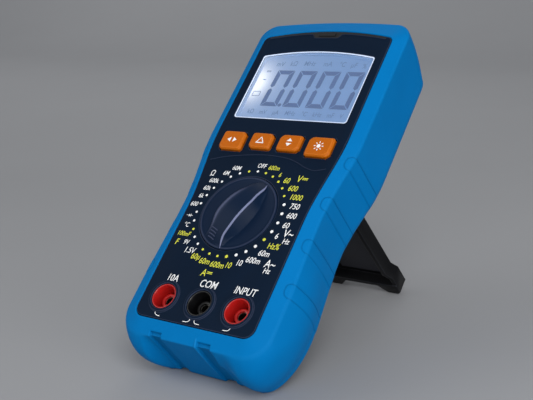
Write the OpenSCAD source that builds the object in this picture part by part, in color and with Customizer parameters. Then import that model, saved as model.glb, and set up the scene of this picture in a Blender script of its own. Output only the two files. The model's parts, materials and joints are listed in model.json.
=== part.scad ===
// Handheld digital multimeter in a rubber holster, leaning back on its fold-out stand.
// Face frame: X across, Y up the face, Z out of the face. Its origin lies on the panel's
// surface, on the centre line, at the height of the dial's centre.

/* [Stance] */
// Angle between the face and the floor, with the stand open
tilt = 43; // [38:1:50]
// Depth of the flats that the holster and the stand rest on
rest_flat = 0.8; // [0.5:0.1:1.5]

/* [Face panel] */
// Width of the panel beside the display
panel_top_w = 69.6; // [66:0.2:74]
// Width of the panel at the dial
panel_waist_w = 61; // [58:0.2:64]
// Height of the panel's upper corners above the dial's centre
panel_top = 100; // [97:0.5:106]
// Rise of the panel's arched top edge
panel_arch = 3.3; // [1:0.1:4]
// Distance of the panel's lower edge below the dial's centre
panel_bottom = 54.4; // [53:0.2:60]
// Thickness of the panel
panel_t = 2.4; // [2:0.1:3.2]
// Radius of the panel's upper corners
panel_top_r = 3; // [2:0.5:6]
// Radius of the panel's lower corners
panel_bottom_r = 4.4; // [3:0.2:7]
// Height at which the full upper width begins
shoulder = 43.5; // [40:0.5:52]
// Distance below the dial's centre at which the full lower width begins
hip = 40; // [30:1:48]

/* [Holster] */
// Width of the sloping front rim
rim_w = 6; // [4.5:0.1:7]
// Flat lip of the holster's rim beside the panel
rim_lip = 0.4; // [0.2:0.1:1]
// Extra width of the holster's lower half, each side
hip_extra = 1.2; // [0:0.1:3]
// Height of the holster's waist above the dial's centre
waist_up = 3; // [-4:0.5:6]
// Drop of the front rim from the panel to the crease
rim_drop = 2.8; // [2:0.1:3.5]
// Rim beyond the panel at the top end
top_rim = 10.3; // [8:0.1:12]
// Rise of the holster's arched top edge
rim_arch = 1.4; // [0:0.1:3]
// Rim beyond the panel at the bottom end
end_rim = 7.3; // [5.5:0.1:9]
// Depth of the holster from the panel to its back
holster_depth = 35; // [34:0.5:40]
// Inward draft of the side walls, each side
wall_draft = 0.8; // [0.5:0.1:2.6]
// Further draft of the side walls at the waist, each side
waist_draft = 1.5; // [0:0.1:2]
// How far the top end slopes down towards the back
top_fall = 8; // [5:0.2:12]
// How far the top end swells out between the crease and the back
top_bulge = 1.6; // [0:0.1:3]
// How far the bottom end swells out towards the back
bottom_swell = 2; // [0:0.2:4]
// Bulge of the bottom end halfway back
end_bulge = 4.2; // [2:0.2:6]
// Bulge of the lower side walls halfway back, each side
hip_bulge = 3; // [0:0.2:4]
// Depth of the rounding round the back
back_round = 5.5; // [4:0.5:7]
// Width of the rounding round the back
back_inset = 4.2; // [3:0.2:6]
// Radius of the holster's upper corners at the front
top_r = 9; // [6:0.5:12]
// Radius of the holster's upper corners at the back
top_back_r = 4.5; // [3:0.5:8]
// Radius of the holster's lower corners
bottom_r = 12; // [10:0.5:16]
// Thickness of the border behind the case
border_t = 2; // [1.6:0.1:2.5]
// Width of the opening in the back
opening_w = 54; // [52:0.5:58]
// Number of grip pads on each side
pad_count = 4; // [2:1:5]
// Height of a grip pad
pad_h = 6.2; // [4:0.2:9]
// Height of the upper grip pad above the dial's centre
pad_top = 31.7; // [26:0.1:36]
// Distance of the lower grip pad below the dial's centre
pad_low = 30.4; // [26:0.1:36]
// How far the grip pads stand out
pad_raise = 0.5; // [0.3:0.1:0.8]
// Width of the hollow between the two lobes of the bottom end
hollow_w = 31.6; // [20:0.2:34]
// How far the hollow lies to the left of the middle
hollow_offset = 3.6; // [0:0.1:6]
// How far the hollow's floor lies below the crease
hollow_drop = 1; // [0.6:0.1:2.4]
// How much further the hollow reaches to each side in its deeper half
hollow_step = 6; // [0:0.2:6.2]
// Depth below the panel at which the hollow gets wider
hollow_step_z = 16.5; // [12:0.5:22]

/* [Case] */
// Width of the case's shoulder behind the holster's rim
shoulder_w = 0.8; // [0.6:0.1:1]
// Thickness of the case walls
wall = 2; // [1.6:0.1:2.4]
// Depth of the joint between the front and rear cases
parting = 14; // [13.6:0.2:16]
// Radius of the case's upper corners
case_r = 9; // [7:0.5:10]
// Gap left where one fixed piece sits in another
fit = 0.2; // [0.1:0.05:0.25]

/* [Display] */
// Width of the display window
window_w = 60.2; // [54:0.2:62]
// Height of the window's lower edge above the dial's centre
window_bottom = 50.7; // [50:0.1:54]
// Height of the window's upper corners above the dial's centre
window_top = 88; // [82:0.5:89]
// Rise of the window's arched upper edge
window_arch = 2.9; // [1:0.1:3.2]
// Thickness of the window
window_t = 1.4; // [1:0.1:1.6]
// How far the window lies below the panel's surface
window_sink = 0.3; // [0.1:0.1:0.5]
// Width of the ledge that carries the window
window_ledge = 1.1; // [1:0.1:2.5]
// Thickness of the display glass
glass_t = 2.2; // [1.6:0.1:2.6]
// Thickness of the light guide
backlight_t = 3; // [2:0.1:3.4]
// Wall of the display frame
frame_wall = 1.4; // [1:0.1:1.6]
// Floor of the display frame
frame_floor = 1.6; // [1.2:0.1:2.2]
// Width of the sensor lens at the top of the panel
lens_w = 9; // [6:0.5:12]
// Height of the sensor lens
lens_h = 1.6; // [1.2:0.1:2]

/* [Selector] */
// Distance of the dial's centre left of the centre line
dial_offset = 2.5; // [0:0.1:4]
// Radius of the knob
knob_r = 18.6; // [17:0.1:19.5]
// Gap round the knob in the panel
knob_gap = 0.25; // [0.2:0.05:0.4]
// Height of the grip bar above the panel
grip_h = 5.5; // [4:0.1:7]
// Half width of the grip bar at its foot
grip_foot = 8.2; // [6:0.1:9.5]
// Half width of the grip bar at its crest
grip_crest = 6; // [4:0.1:6.4]
// Heading of the pointer, clockwise from the top of the dial
heading = 24; // [0:12:348]
// Number of detents round the dial
detents = 30; // [12:1:36]
// Radius of the knob's hub
hub_r = 6; // [5:0.1:7]
// Radius of the rotor's flange behind the panel
rotor_r = 20.2; // [19.9:0.1:20.6]
// Radius of the rotor's centre pin
pivot_r = 2; // [1.5:0.1:2.5]
// Radial clearance of turning fits
run = 0.06; // [0.04:0.01:0.1]

/* [Buttons] */
// Width of the two inner buttons
inner_w = 11.8; // [11:0.1:13.5]
// Width of the two outer buttons
outer_w = 12.7; // [12:0.1:14.6]
// Distance between the centres of the inner buttons
inner_pitch = 15.2; // [14.8:0.1:16.4]
// Distance between the centres of the outer buttons
outer_pitch = 46.4; // [45.6:0.1:47]
// Height of the buttons' upper edge above the dial's centre
button_top = 41.6; // [41:0.1:43]
// Height of the inner buttons
inner_h = 8.5; // [8:0.1:10]
// Height of the outer buttons
outer_h = 10.1; // [9:0.1:12]
// How far a button stands out of the panel
button_raise = 1.7; // [1.2:0.1:2.2]
// Travel of a button
button_travel = 0.8; // [0.5:0.1:1]
// Gap round a button in the panel
button_gap = 0.3; // [0.25:0.05:0.4]

/* [Jacks] */
// Distance between neighbouring jacks
jack_pitch = 19.05; // [18.6:0.05:19.2]
// Distance of the jacks below the dial's centre
jack_drop = 44.2; // [43.8:0.1:45]
// Outer radius of a jack's lip
jack_r = 5.75; // [5.4:0.05:6]
// Radius of the well round the contact's boss
well_r = 4.7; // [4.4:0.05:4.8]
// Radius of the contact's boss
boss_r = 3.5; // [3.2:0.05:3.8]
// How far the boss lies below the panel's surface
boss_sink = 4; // [3:0.1:6]
// Radius of the contact's bore
bore_r = 2; // [1.95:0.01:2.1]
// Wall of the contact tube
contact_wall = 0.6; // [0.4:0.1:0.8]
// Depth of a jack from the panel to its floor
jack_depth = 19; // [17:0.5:20]

/* [Inside] */
// Thickness of the main board
board_t = 1.6; // [1:0.1:1.8]
// Length of the battery
battery_l = 46.4; // [44:0.1:47]
// Width of the battery
battery_w = 26.2; // [25:0.1:26.6]
// Thickness of the battery
battery_t = 17; // [16:0.1:17.2]
// Height of the battery's upper end above the dial's centre
battery_top = 31; // [29:0.5:32]
// Radius of the large fuse
large_fuse_r = 5.15; // [4:0.05:5.2]
// Length of the large fuse
large_fuse_l = 38; // [34:0.5:40]
// Radius of the small fuse
small_fuse_r = 3.15; // [2.5:0.05:3.3]
// Length of the small fuse
small_fuse_l = 30; // [24:0.5:32]
// Radius of the case screws
screw_r = 1.25; // [1:0.05:1.4]
// Radius of the case screws' heads
head_r = 2.5; // [2:0.1:2.6]

/* [Stand] */
// Height of the stand's hinge above the dial's centre
hinge_up = 38.5; // [37.5:0.1:40]
// Length of the stand from its hinge
stand_l = 88.5; // [86:0.1:89]
// Width of the stand's channel
stand_w = 37; // [36:0.2:37.4]
// Width across the stand's feet
foot_w = 43; // [41:0.2:45.4]
// Length of the feet
foot_l = 15; // [12:0.5:24]
// How much is cut off the foot's outer corners
foot_clip = 2.5; // [0:0.1:3.5]
// Depth of the arch between the feet
arch_h = 6; // [3:0.2:8]
// Width of the arch between the feet
arch_w = 31; // [24:0.5:33]
// Thickness of the stand's plate
plate_t = 2.6; // [2:0.1:2.6]
// Thickness of the stand's flanges
flange_t = 2.4; // [2:0.1:2.5]
// Distance from the hinge to the plate's outer face
plate_out = 3.4; // [3.2:0.1:3.6]
// Distance from the hinge to the flanges' free edge
flange_in = 5; // [4:0.1:5.4]
// Radius of the hinge pin
pin_r = 1.5; // [1:0.1:1.8]
// Gap round the folded stand
stand_gap = 0.5; // [0.4:0.05:0.7]

/* [Hidden] */
$fn = 48;
eps = 0.01;
far = 400;

// Half widths at the shoulder, the waist and the hip, and the height of the waist.
// The panel is never too narrow for the display's frame, nor too short for the folded stand.
opening_step = 1.4;
panel_half = max(panel_top_w / 2, window_w / 2 + 2 * fit + frame_wall + wall - shoulder_w);
panel_low = max(panel_bottom, stand_l + stand_gap + wall / 2 + fit + opening_step - shoulder_w - hinge_up);
panel_h = [panel_half, panel_waist_w / 2, panel_waist_w / 2, 0];
pad_pitch = (pad_top + pad_low) / (pad_count - 1);
pad_y = [for (i = [0:pad_count - 1]) i * pad_pitch - pad_low];
pad_edge = 0.6 * pad_raise;
crease_h = [panel_h[0] + rim_w, panel_h[1] + rim_w, panel_h[2] + rim_w + hip_extra, waist_up];
crease_top = panel_top + top_rim;
crease_bottom = -panel_low - end_rim;
wall_z = -holster_depth + back_round;
back_top = crease_top - top_fall;
back_bottom = crease_bottom - bottom_swell;
opening_r = 6;

// Depths behind the panel's surface
case_z = -holster_depth + border_t;
glass_z = -panel_t - fit;
backlight_z = glass_z - glass_t - fit;
board_z = backlight_z - backlight_t - fit - frame_floor - fit;
board_back = board_z - board_t;
parting_z = -parting;
rear_z = parting_z - 0.05;
hinge_z = -holster_depth + plate_out;
pan_z = hinge_z - plate_out + plate_t + stand_gap;
groove_z = hinge_z + flange_in + stand_gap;
cover_t = 1.7;
battery_z = pan_z + cover_t + fit;

// Upper ends of the two cases, inside the sloping top of the holster
front_top = min(panel_top, crease_top - top_fall * (parting - rim_drop) / (-wall_z - rim_drop) - 3.6);
rear_top = back_top - 7.5;
case_bottom = -panel_low - shoulder_w;
opening_bottom = case_bottom + opening_step;
opening_top = rear_top - 8;

// Selector
dial_x = -dial_offset;
hole_r = knob_r + knob_gap;
knob_t = panel_t + fit;
rotor_z = -knob_t - 0.4;
rotor_t = 2;
drum_r = 15;
drum_z = board_z + 2;
ring_gap = 0.9;
ring_r = rotor_r + ring_gap;
ball_r = 1;
ball_at = rotor_r - 0.4;
grip_arc = 30;
track_r = 5.5;
track_pitch = 3;
track_w = 2.2;
track_t = 0.15;
wiper_w = 2;
wiper_l = 8;
wiper_t = 0.3;

// Buttons, whose flanges share the gap between neighbours
flange = ((outer_pitch - inner_pitch - inner_w - outer_w) / 2 - 0.4) / 2;
stem_r = 1.6;
cap_back = -panel_t - 0.3;
flange_back = cap_back - 0.9;
switch_h = 1.6;
switch_w = 6;
stem_z = board_z + switch_h + button_travel + 0.1;
key_names = ["mode", "relative", "peak", "light"];
key_x = [-outer_pitch / 2, -inner_pitch / 2, inner_pitch / 2, outer_pitch / 2];
key_w = [outer_w, inner_w, inner_w, outer_w];
key_h = [outer_h, inner_h, inner_h, outer_h];

// Jacks
jack_x = [-jack_pitch, 0, jack_pitch];
collar_w = 1.4;
sleeve_r = jack_r + fit + collar_w;
board_bottom = -jack_drop + sleeve_r + 1.2;
contact_r = bore_r + contact_wall;
contact_top = -boss_sink - 1;

// Fastenings
low_screw = [panel_waist_w / 2 - 3.1, -27];
high_screw = [panel_half - 4.4, 46];
screw_at = [low_screw, high_screw, [-low_screw[0], low_screw[1]], [-high_screw[0], high_screw[1]]];
boss_wall = 1.5;
post_r = screw_r + 0.05 + boss_wall;
board_screw_r = 0.9;
board_post_r = 2.2;
board_screw_at = [[26.3, 24.6], [-26.3, 24.6], [7.5, board_bottom + 3.4], [-7.5, board_bottom + 3.4]];

// Parts on the back of the board
chip_w = 14;
chip_t = 1.8;
chip_x = -24;
chip_y = 56;
buzzer_r = 10;
buzzer_h = 5;
buzzer_x = 12;
buzzer_y = 62;
shunt_r = 0.9;
shunt_bend = 4;
shunt_h = 5;
shunt_x = -22;
shunt_y = -14;
protector_r = 5;
protector_t = 3;
protector_x = 24;
protector_y = -12;
protector_pitch = 9;
capacitor_r = 4;
capacitor_h = 9;
capacitor_x = -20;
capacitor_y = 40;

// Battery bay
bay_gap = 0.4;
bay_w = battery_w + 2 * bay_gap;
terminal_h = 3;
battery_bottom = battery_top - battery_l;
contacts_t = 2;
bay_bottom = battery_bottom - terminal_h - contacts_t - 2 * bay_gap;
cover_w = bay_w + 2;
cover_top = battery_top + 2.4;
cover_bottom = bay_bottom - 9;
cover_screw_at = bay_bottom - 4.4;
cover_screw_r = 1.2;

// Stand
flange_gap = stand_w / 2 - flange_t;
foot_flare = (foot_w - stand_w) / 2;
plate_start = 5;
lug_r = plate_out - 0.4;
lug_in = 8;
lug_out = 13;
floor_z = floor_of(back_bottom + back_inset, wall_z) + rest_flat
  - sqrt(pow(back_inset * sin(tilt), 2) + pow(back_round * cos(tilt), 2));
hinge_height = floor_of(hinge_up, hinge_z) - floor_z;
stand_reach = sqrt(stand_l * stand_l + flange_in * flange_in);
open_angle = atan2(flange_in, stand_l) + 180 - asin((hinge_height + rest_flat) / stand_reach) - tilt;

// Height and distance back of a point of the face frame
function floor_of(y, z) = y * sin(tilt) + z * cos(tilt);
function back_of(y, z) = y * cos(tilt) - z * sin(tilt);
foot_y = hinge_up - stand_l * cos(open_angle) + plate_out * sin(open_angle);
foot_z = hinge_z - stand_l * sin(open_angle) - plate_out * cos(open_angle);
mid_y = (back_of(crease_bottom, -rim_drop) + back_of(foot_y, foot_z)) / 2;

// Smooth step from 0 to 1
function ease(t) = let(c = min(1, max(0, t))) c * c * (3 - 2 * c);
// Half width of an outline at a height: h holds its half widths at the shoulder, the waist and the
// hip, and the height of the waist
function half_at(y, h) = let(up = h[3]) h[1] + (h[0] - h[1]) * ease((y - up) / (shoulder - up))
  + (h[2] - h[1]) * ease((up - y) / (hip + up));
// Heights between two others, in even steps
function even_rows(a, b, n) = [for (i = [1:n - 1]) a + (b - a) * i / n];
// The right half of an outline, from the bottom edge up to the top edge
function right_half(h, y0, y1, r0, r1, rows) = concat(
  [for (a = [-90:15:0]) [half_at(y0 + r0, h) - r0 + r0 * cos(a), y0 + r0 + r0 * sin(a)]],
  [for (y = rows) [half_at(y, h), y]],
  [for (a = [0:15:90]) [half_at(y1 - r1, h) - r1 + r1 * cos(a), y1 - r1 + r1 * sin(a)]]);
// A whole outline with a waist and an arched top edge
function whole(half, y1, arch) =
  let(n = len(half), end_x = half[n - 1][0])
  concat(half,
    [for (i = [1:7]) let(x = end_x * (1 - i / 4)) [x, y1 + arch * (1 - pow(x / end_x, 2))]],
    [for (i = [n - 1:-1:0]) [-half[i][0], half[i][1]]]);
function outline(h, y0, y1, r0, r1, arch) =
  let(rows = y0 + r0 < shoulder ? concat(even_rows(y0 + r0, shoulder, 13), [shoulder]) : [])
  whole(right_half(h, y0, y1, r0, r1, rows), y1, arch);
function grown(h, d, waist_d = 0, hip_d = 0) = [h[0] + d, h[1] + d + waist_d, h[2] + d + hip_d, h[3]];

function panel_outline(d) = outline(grown(panel_h, d), -panel_low - d, panel_top + d,
  panel_bottom_r + d, panel_top_r + d, panel_arch);
function case_outline(top, d) = outline(grown(panel_h, shoulder_w + d), case_bottom - d, top + d,
  panel_bottom_r + d, case_r + d, 0);

// Rows up a side of the holster, with one along each edge of the grip pads
function pad_rows(a, b) = concat(even_rows(a, pad_y[0] - pad_h / 2 - pad_edge, 3),
  [for (i = [0:pad_count - 1]) each concat(
    [for (e = [-pad_h / 2 - pad_edge, -pad_h / 2, pad_h / 2, pad_h / 2 + pad_edge]) pad_y[i] + e],
    i == pad_count - 1 ? [] : even_rows(pad_y[i] + pad_h / 2 + pad_edge,
      pad_y[i + 1] - pad_h / 2 - pad_edge, 3))],
  even_rows(pad_y[pad_count - 1] + pad_h / 2 + pad_edge, b, 6));
function on_pad(y) = len([for (c = pad_y) if (abs(y - c) < pad_h / 2 + eps) c]);

// Rings round the holster, which follow the panel, the case and the opening in the back
function ring(z, h, y0, y1, r0, r1, arch) =
  [for (p = whole(right_half(h, y0, y1, r0, r1, pad_rows(y0 + r0, y1 - r1)), y1, arch)) [p[0], p[1], z]];
function panel_ring(z, d) = ring(z, grown(panel_h, d), -panel_low - d, panel_top + d,
  panel_bottom_r + d, panel_top_r + d, panel_arch);
function case_ring(z, top, d) = ring(z, grown(panel_h, shoulder_w + d), case_bottom - d, top + d,
  panel_bottom_r + d, case_r + d, 0);
function opening_ring(z) = ring(z, [opening_w / 2, opening_w / 2, opening_w / 2, 0], opening_bottom,
  opening_top, opening_r, opening_r, 0);
function skin_ring(z, inset, top, bottom, k, r, bulge) =
  ring(z, grown(crease_h, -inset, -waist_draft * k, bulge), bottom, top, bottom_r, r, rim_arch);
function wall_ring(k) = skin_ring(-rim_drop + (wall_z + rim_drop) * k, wall_draft * k,
  crease_top - top_fall * k + top_bulge * sin(180 * k),
  crease_bottom - bottom_swell * k - end_bulge * sin(180 * k), k,
  top_r + (top_back_r - top_r) * k, hip_bulge * sin(180 * k));
function back_ring(a) = let(inset = back_inset * (1 - cos(a))) skin_ring(wall_z - back_round * sin(a),
  wall_draft + inset, back_top - inset, back_bottom + inset, 1, top_back_r, 0);
// A ring at a share of the slope of the rim
function rim_share(t) = let(a = panel_ring(0, fit + rim_lip), b = wall_ring(0))
  [for (i = [0:len(a) - 1]) a[i] + (b[i] - a[i]) * t];
// A ring whose pads stand out sideways and to the front
function raised(points, out, up) = [for (p = points)
  [p[0] + sign(p[0]) * out * pad_raise * on_pad(p[1]), p[1], p[2] + up * pad_raise * on_pad(p[1])]];
// The outer skin, from the panel to the back
function skin() = concat(
  [rim_share(0), rim_share(0.45), raised(rim_share(0.55), 0.4, 0.9), raised(wall_ring(0), 0.8, 0.5)],
  [for (k = [0.25:0.25:1]) raised(wall_ring(k), 1, 0)],
  [for (a = [30:30:90]) back_ring(a)]);

// The bay that holds the case, from the opening in the back to the panel
function bay() = [opening_ring(-holster_depth), opening_ring(case_z - fit),
  case_ring(case_z - fit, rear_top, fit), case_ring(parting_z - 2 * fit, rear_top, fit),
  case_ring(parting_z - fit, front_top, fit), case_ring(-panel_t + fit, front_top, fit),
  panel_ring(-panel_t + 2 * fit, fit), panel_ring(0, fit)];

// A closed band through rings of equal point count, from the last of which it goes on to the first
module loft(rings) {
  n = len(rings[0]);
  m = len(rings);
  sides = [for (k = [0:m - 1]) for (i = [0:n - 1]) let(j = (i + 1) % n, l = (k + 1) % m) each
    [[k * n + i, k * n + j, l * n + j], [k * n + i, l * n + j, l * n + i]]];
  polyhedron(points = [for (r = rings) each r], faces = sides, convexity = 6);
}

// Stands the face frame on the floor, with the origin at the bottom centre
module upright() {
  translate([0, -mid_y, -floor_z]) rotate([tilt, 0, 0]) children();
}
// What lies below the floor, in the face frame
module under_floor() {
  rotate([-tilt, 0, 0]) translate([-far / 2, -far / 2, floor_z - far]) cube([far, far, far]);
}
// A plate between two depths
module slab(z0, z1) {
  translate([0, 0, z0]) linear_extrude(height = z1 - z0) children();
}
module mirrored() {
  children();
  mirror([1, 0, 0]) children();
}
// A box from its lowest to its highest corner
module block(a, b) {
  translate(a) cube(b - a);
}
// A rectangle with round corners
module round_rect(x0, y0, x1, y1, r) {
  translate([x0 + r, y0]) square([x1 - x0 - 2 * r, y1 - y0]);
  translate([x0, y0 + r]) square([x1 - x0, y1 - y0 - 2 * r]);
  for (x = [x0 + r, x1 - r]) for (y = [y0 + r, y1 - r]) translate([x, y]) circle(r);
}
// The four places of the case screws
module at_screws() {
  for (p = screw_at) translate(p) children();
}

module back_opening(d) {
  round_rect(-opening_w / 2 - d, opening_bottom - d, opening_w / 2 + d, opening_top + d, opening_r);
}
module holster() {
  color("dodgerblue") upright() difference() {
    loft(concat(skin(), bay()));
    block([-hollow_offset - hollow_w / 2, crease_bottom - far / 4, -far / 4],
      [-hollow_offset + hollow_w / 2, crease_bottom - hollow_drop, 0]);
    block([-hollow_offset - hollow_w / 2 - hollow_step, crease_bottom - far / 4, -far / 4],
      [-hollow_offset + hollow_w / 2 + hollow_step, crease_bottom - hollow_drop, -hollow_step_z]);
    under_floor();
  }
}

// Outline of a button with two clipped corners
module key_shape(i, d) {
  w = key_w[i] / 2 + d;
  h = key_h[i] + 2 * d;
  clip = 1.6;
  side = i < 2 ? 1 : -1;
  translate([key_x[i], button_top + d - h])
    polygon([for (p = [[-w + clip, 0], [w - clip / 2, 0], [w, clip / 2],
    [w, h - clip], [w - clip, h], [-w + clip / 2, h], [-w, h - clip / 2], [-w, clip]]) [side * p[0], p[1]]]);
}
module window_shape(d) {
  polygon(outline([window_w / 2 + d, window_w / 2 + d, window_w / 2 + d, 0], window_bottom - d,
    window_top + d,
    1.2, 1.2, window_arch));
}
module lens_shape(d) {
  translate([0, panel_top + panel_arch - 2.2]) square([lens_w + 2 * d, lens_h + 2 * d], center = true);
}
module front_case() {
  color([0.11, 0.13, 0.18]) upright() difference() {
    union() {
      slab(-panel_t, 0) polygon(panel_outline(0));
      difference() {
        slab(parting_z, -panel_t) polygon(case_outline(front_top, 0));
        slab(parting_z - eps, -panel_t) polygon(case_outline(front_top, -wall));
      }
      intersection() {
        slab(parting_z, parting_z + wall - 0.4) polygon(case_outline(front_top, 0));
        block([-far / 4, rear_top - wall, -far / 4], [far / 4, far / 4, far / 4]);
      }
      for (x = jack_x) translate([x, -jack_drop, parting_z + 4])
        cylinder(r = sleeve_r, h = parting - 4 + 0.8);
      at_screws() translate([0, 0, parting_z]) cylinder(r = post_r, h = parting - panel_t + eps);
      for (p = board_screw_at) translate([p[0], p[1], board_z])
        cylinder(r = board_post_r, h = -board_z - panel_t + eps);
    }
    slab(-panel_t - 1, -panel_t + 4 * fit) difference() {
      translate([-far / 4, front_top - case_r]) square(far / 2);
      polygon(case_outline(front_top, 0.05));
    }
    slab(-window_sink - window_t - fit, 1) window_shape(fit);
    slab(-panel_t - 1, 1) window_shape(-window_ledge);
    slab(-panel_t - 1, 1) lens_shape(0.1);
    translate([dial_x, 0, -panel_t - 1]) cylinder(r = hole_r, h = panel_t + 2, $fn = 96);
    for (i = [0:3]) slab(-panel_t - 1, 1) key_shape(i, button_gap);
    for (x = jack_x) translate([x, -jack_drop, parting_z]) cylinder(r = jack_r + fit, h = parting + 2);
    at_screws() translate([0, 0, parting_z - 1]) cylinder(r = screw_r + 0.05, h = parting - panel_t - 1);
    for (p = board_screw_at) translate([p[0], p[1], board_z - 1])
      cylinder(r = board_screw_r + 0.05, h = -board_z - panel_t - 1);
  }
}

// The space that the stand folds into, cut from the back of the rear case
module stand_bay() {
  top = hinge_up + plate_out + 0.25;
  bottom = hinge_up - stand_l - stand_gap;
  foot_top = bottom + foot_l + foot_flare + 2 * stand_gap;
  half = stand_w / 2 + stand_gap;
  foot_half = foot_w / 2 + stand_gap;
  block([-half, bottom, -far / 4], [half, top, pan_z]);
  block([-foot_half, bottom, -far / 4], [foot_half, foot_top, pan_z]);
  block([-foot_half, bottom, -far / 4], [foot_half, bottom + flange_t + 2 * stand_gap + arch_h, groove_z]);
  mirrored() {
    block([flange_gap - stand_gap, bottom, -far / 4], [half, top, groove_z]);
    block([flange_gap - stand_gap, bottom, -far / 4], [foot_half, foot_top, groove_z]);
  }
}
module rear_case() {
  top = hinge_up + plate_out + 0.25 + wall;
  bottom = hinge_up - stand_l - stand_gap;
  half = stand_w / 2 + stand_gap + wall;
  foot_half = foot_w / 2 + stand_gap + wall;
  color([0.10, 0.10, 0.11]) upright() difference() {
    union() {
      difference() {
        union() {
          difference() {
            slab(case_z, rear_z) polygon(case_outline(rear_top, 0));
            slab(case_z + wall, rear_z + eps) polygon(case_outline(rear_top, -wall));
          }
          slab(-holster_depth + 0.2, case_z + eps) back_opening(-0.3);
          block([-half, bottom - wall / 2, case_z], [half, top, groove_z + wall]);
          block([-foot_half, bottom - wall / 2, case_z],
            [foot_half, bottom + foot_l + foot_flare + 2 * stand_gap + wall, groove_z + wall]);
          at_screws() translate([0, 0, case_z]) cylinder(r = head_r + 0.4 + 0.9, h = rear_z - case_z);
        }
        stand_bay();
      }
      mirrored() translate([lug_in, hinge_up, hinge_z]) rotate([0, 90, 0])
        cylinder(r = lug_r, h = lug_out - lug_in);
    }
    block([-bay_w / 2, bay_bottom, -far / 4], [bay_w / 2, battery_top + bay_gap, far / 4]);
    block([-cover_w / 2 - fit, cover_bottom - fit, -far / 4],
      [cover_w / 2 + fit, cover_top + fit, pan_z + cover_t]);
    translate([0, cover_screw_at, -far / 4])
      cylinder(r = cover_screw_r + 0.05, h = far / 4 + groove_z + wall - 1.2);
    translate([-far / 8, hinge_up, hinge_z]) rotate([0, 90, 0]) cylinder(r = pin_r + run, h = far / 4);
    at_screws() {
      translate([0, 0, case_z - 1]) cylinder(r = screw_r + 0.25, h = -case_z);
      translate([0, 0, case_z - 1]) cylinder(r = head_r + 0.3, h = 3.2);
    }
  }
}

module display_window() {
  color([0.80, 0.86, 0.94, 0.5]) upright()
    slab(-window_sink - window_t, -window_sink) window_shape(0);
}
module sensor_lens() {
  color([0.45, 0.45, 0.22]) upright() slab(-panel_t + 4 * fit, 0.4) lens_shape(0);
}
// Outline of the display's inner pieces, which lie behind the window's ledge
module lcd_shape(d) {
  translate([-window_w / 2 - d, window_bottom - d])
    square([window_w + 2 * d, window_top - window_bottom + 2 * d]);
}
strip_w = 2;
module lcd_glass() {
  color([0.66, 0.74, 0.84]) upright() slab(glass_z - glass_t, glass_z) lcd_shape(0);
}
module lcd_backlight() {
  color("white") upright() slab(backlight_z - backlight_t, backlight_z)
    translate([-window_w / 2 + 1.6, window_bottom + strip_w + 1])
      square([window_w - 1.6, window_top - window_bottom - strip_w - 1]);
}
module backlight_leds() {
  color("ivory") upright() for (y = [0.35, 0.65])
    translate([-window_w / 2, window_bottom + (window_top - window_bottom) * y - 1.5,
      backlight_z - backlight_t])
      cube([1.4, 3, backlight_t - 0.4]);
}
module lcd_frame() {
  color("gainsboro") upright() difference() {
    slab(board_z, glass_z) lcd_shape(fit + frame_wall);
    slab(backlight_z - backlight_t - fit, glass_z + eps) lcd_shape(fit);
    block([-window_w / 2 + 2, window_bottom, board_z - eps],
      [window_w / 2 - 2, window_bottom + strip_w + 0.4, 0]);
  }
}
module zebra_strip() {
  color("dimgray") upright() block([-window_w / 2 + 2.2, window_bottom + 0.2, board_z],
    [window_w / 2 - 2.2, window_bottom + 0.2 + strip_w, glass_z - glass_t]);
}

// Top view of the grip bar, pointing up, as half widths along its length
grip_shape = [[0.94, 0.16], [0.80, 0.42], [0.56, 0.66], [0.35, 0.88], [0.04, 1], [-0.30, 0.99],
  [-0.48, 0.92], [-0.67, 0.82], [-0.94, 0.86]];
module grip_outline(w) {
  polygon(concat([for (p = grip_shape) [w * p[1], (knob_r - 0.4) * p[0]]],
    [for (i = [len(grip_shape) - 1:-1:0]) [-w * grip_shape[i][1], (knob_r - 0.4) * grip_shape[i][0]]]));
}
module at_dial() {
  translate([dial_x, 0, 0]) rotate([0, 0, -heading]) children();
}
module selector_knob() {
  color([0.10, 0.12, 0.16]) upright() at_dial() difference() {
    union() {
      translate([0, 0, -knob_t]) cylinder(r = knob_r, h = knob_t, $fn = 96);
      intersection() {
        linear_extrude(height = grip_h, scale = [grip_crest / grip_foot, 1], slices = 1)
          grip_outline(grip_foot);
        translate([-far / 8, 0, grip_h - grip_arc]) rotate([0, 90, 0])
          cylinder(r = grip_arc, h = far / 4, $fn = 128);
      }
      translate([0, 0, rotor_z - rotor_t - 1]) cylinder(r = hub_r, h = rotor_t + 2);
    }
    translate([0, -hub_r, rotor_z - rotor_t - 2]) cube([hub_r, 2 * hub_r, rotor_t + 2 - 0.4]);
  }
}
module switch_rotor() {
  color("ivory") upright() at_dial() difference() {
    union() {
      translate([0, 0, rotor_z - rotor_t]) cylinder(r = rotor_r, h = rotor_t, $fn = 96);
      translate([0, 0, drum_z]) cylinder(r = drum_r, h = rotor_z - drum_z);
      translate([0, 0, board_back - 0.6]) cylinder(r = pivot_r, h = drum_z - board_back + 0.6 + eps);
    }
    difference() {
      translate([0, 0, rotor_z - rotor_t - 1 - fit]) cylinder(r = hub_r + 0.05, h = rotor_t + 2);
      translate([0.1, -hub_r, rotor_z - rotor_t - 2]) cube([hub_r, 2 * hub_r, rotor_t + 2 - 0.6]);
    }
    for (a = [0, 180]) rotate([0, 0, a]) translate([drum_r - 4, 0, rotor_z - rotor_t / 2]) rotate([0, 90, 0])
      cylinder(r = 0.75, h = rotor_r);
    for (a = [0, 180]) rotate([0, 0, a]) translate([ball_at, 0, rotor_z - rotor_t / 2])
      sphere(r = ball_r + 0.05);
  }
}
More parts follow.
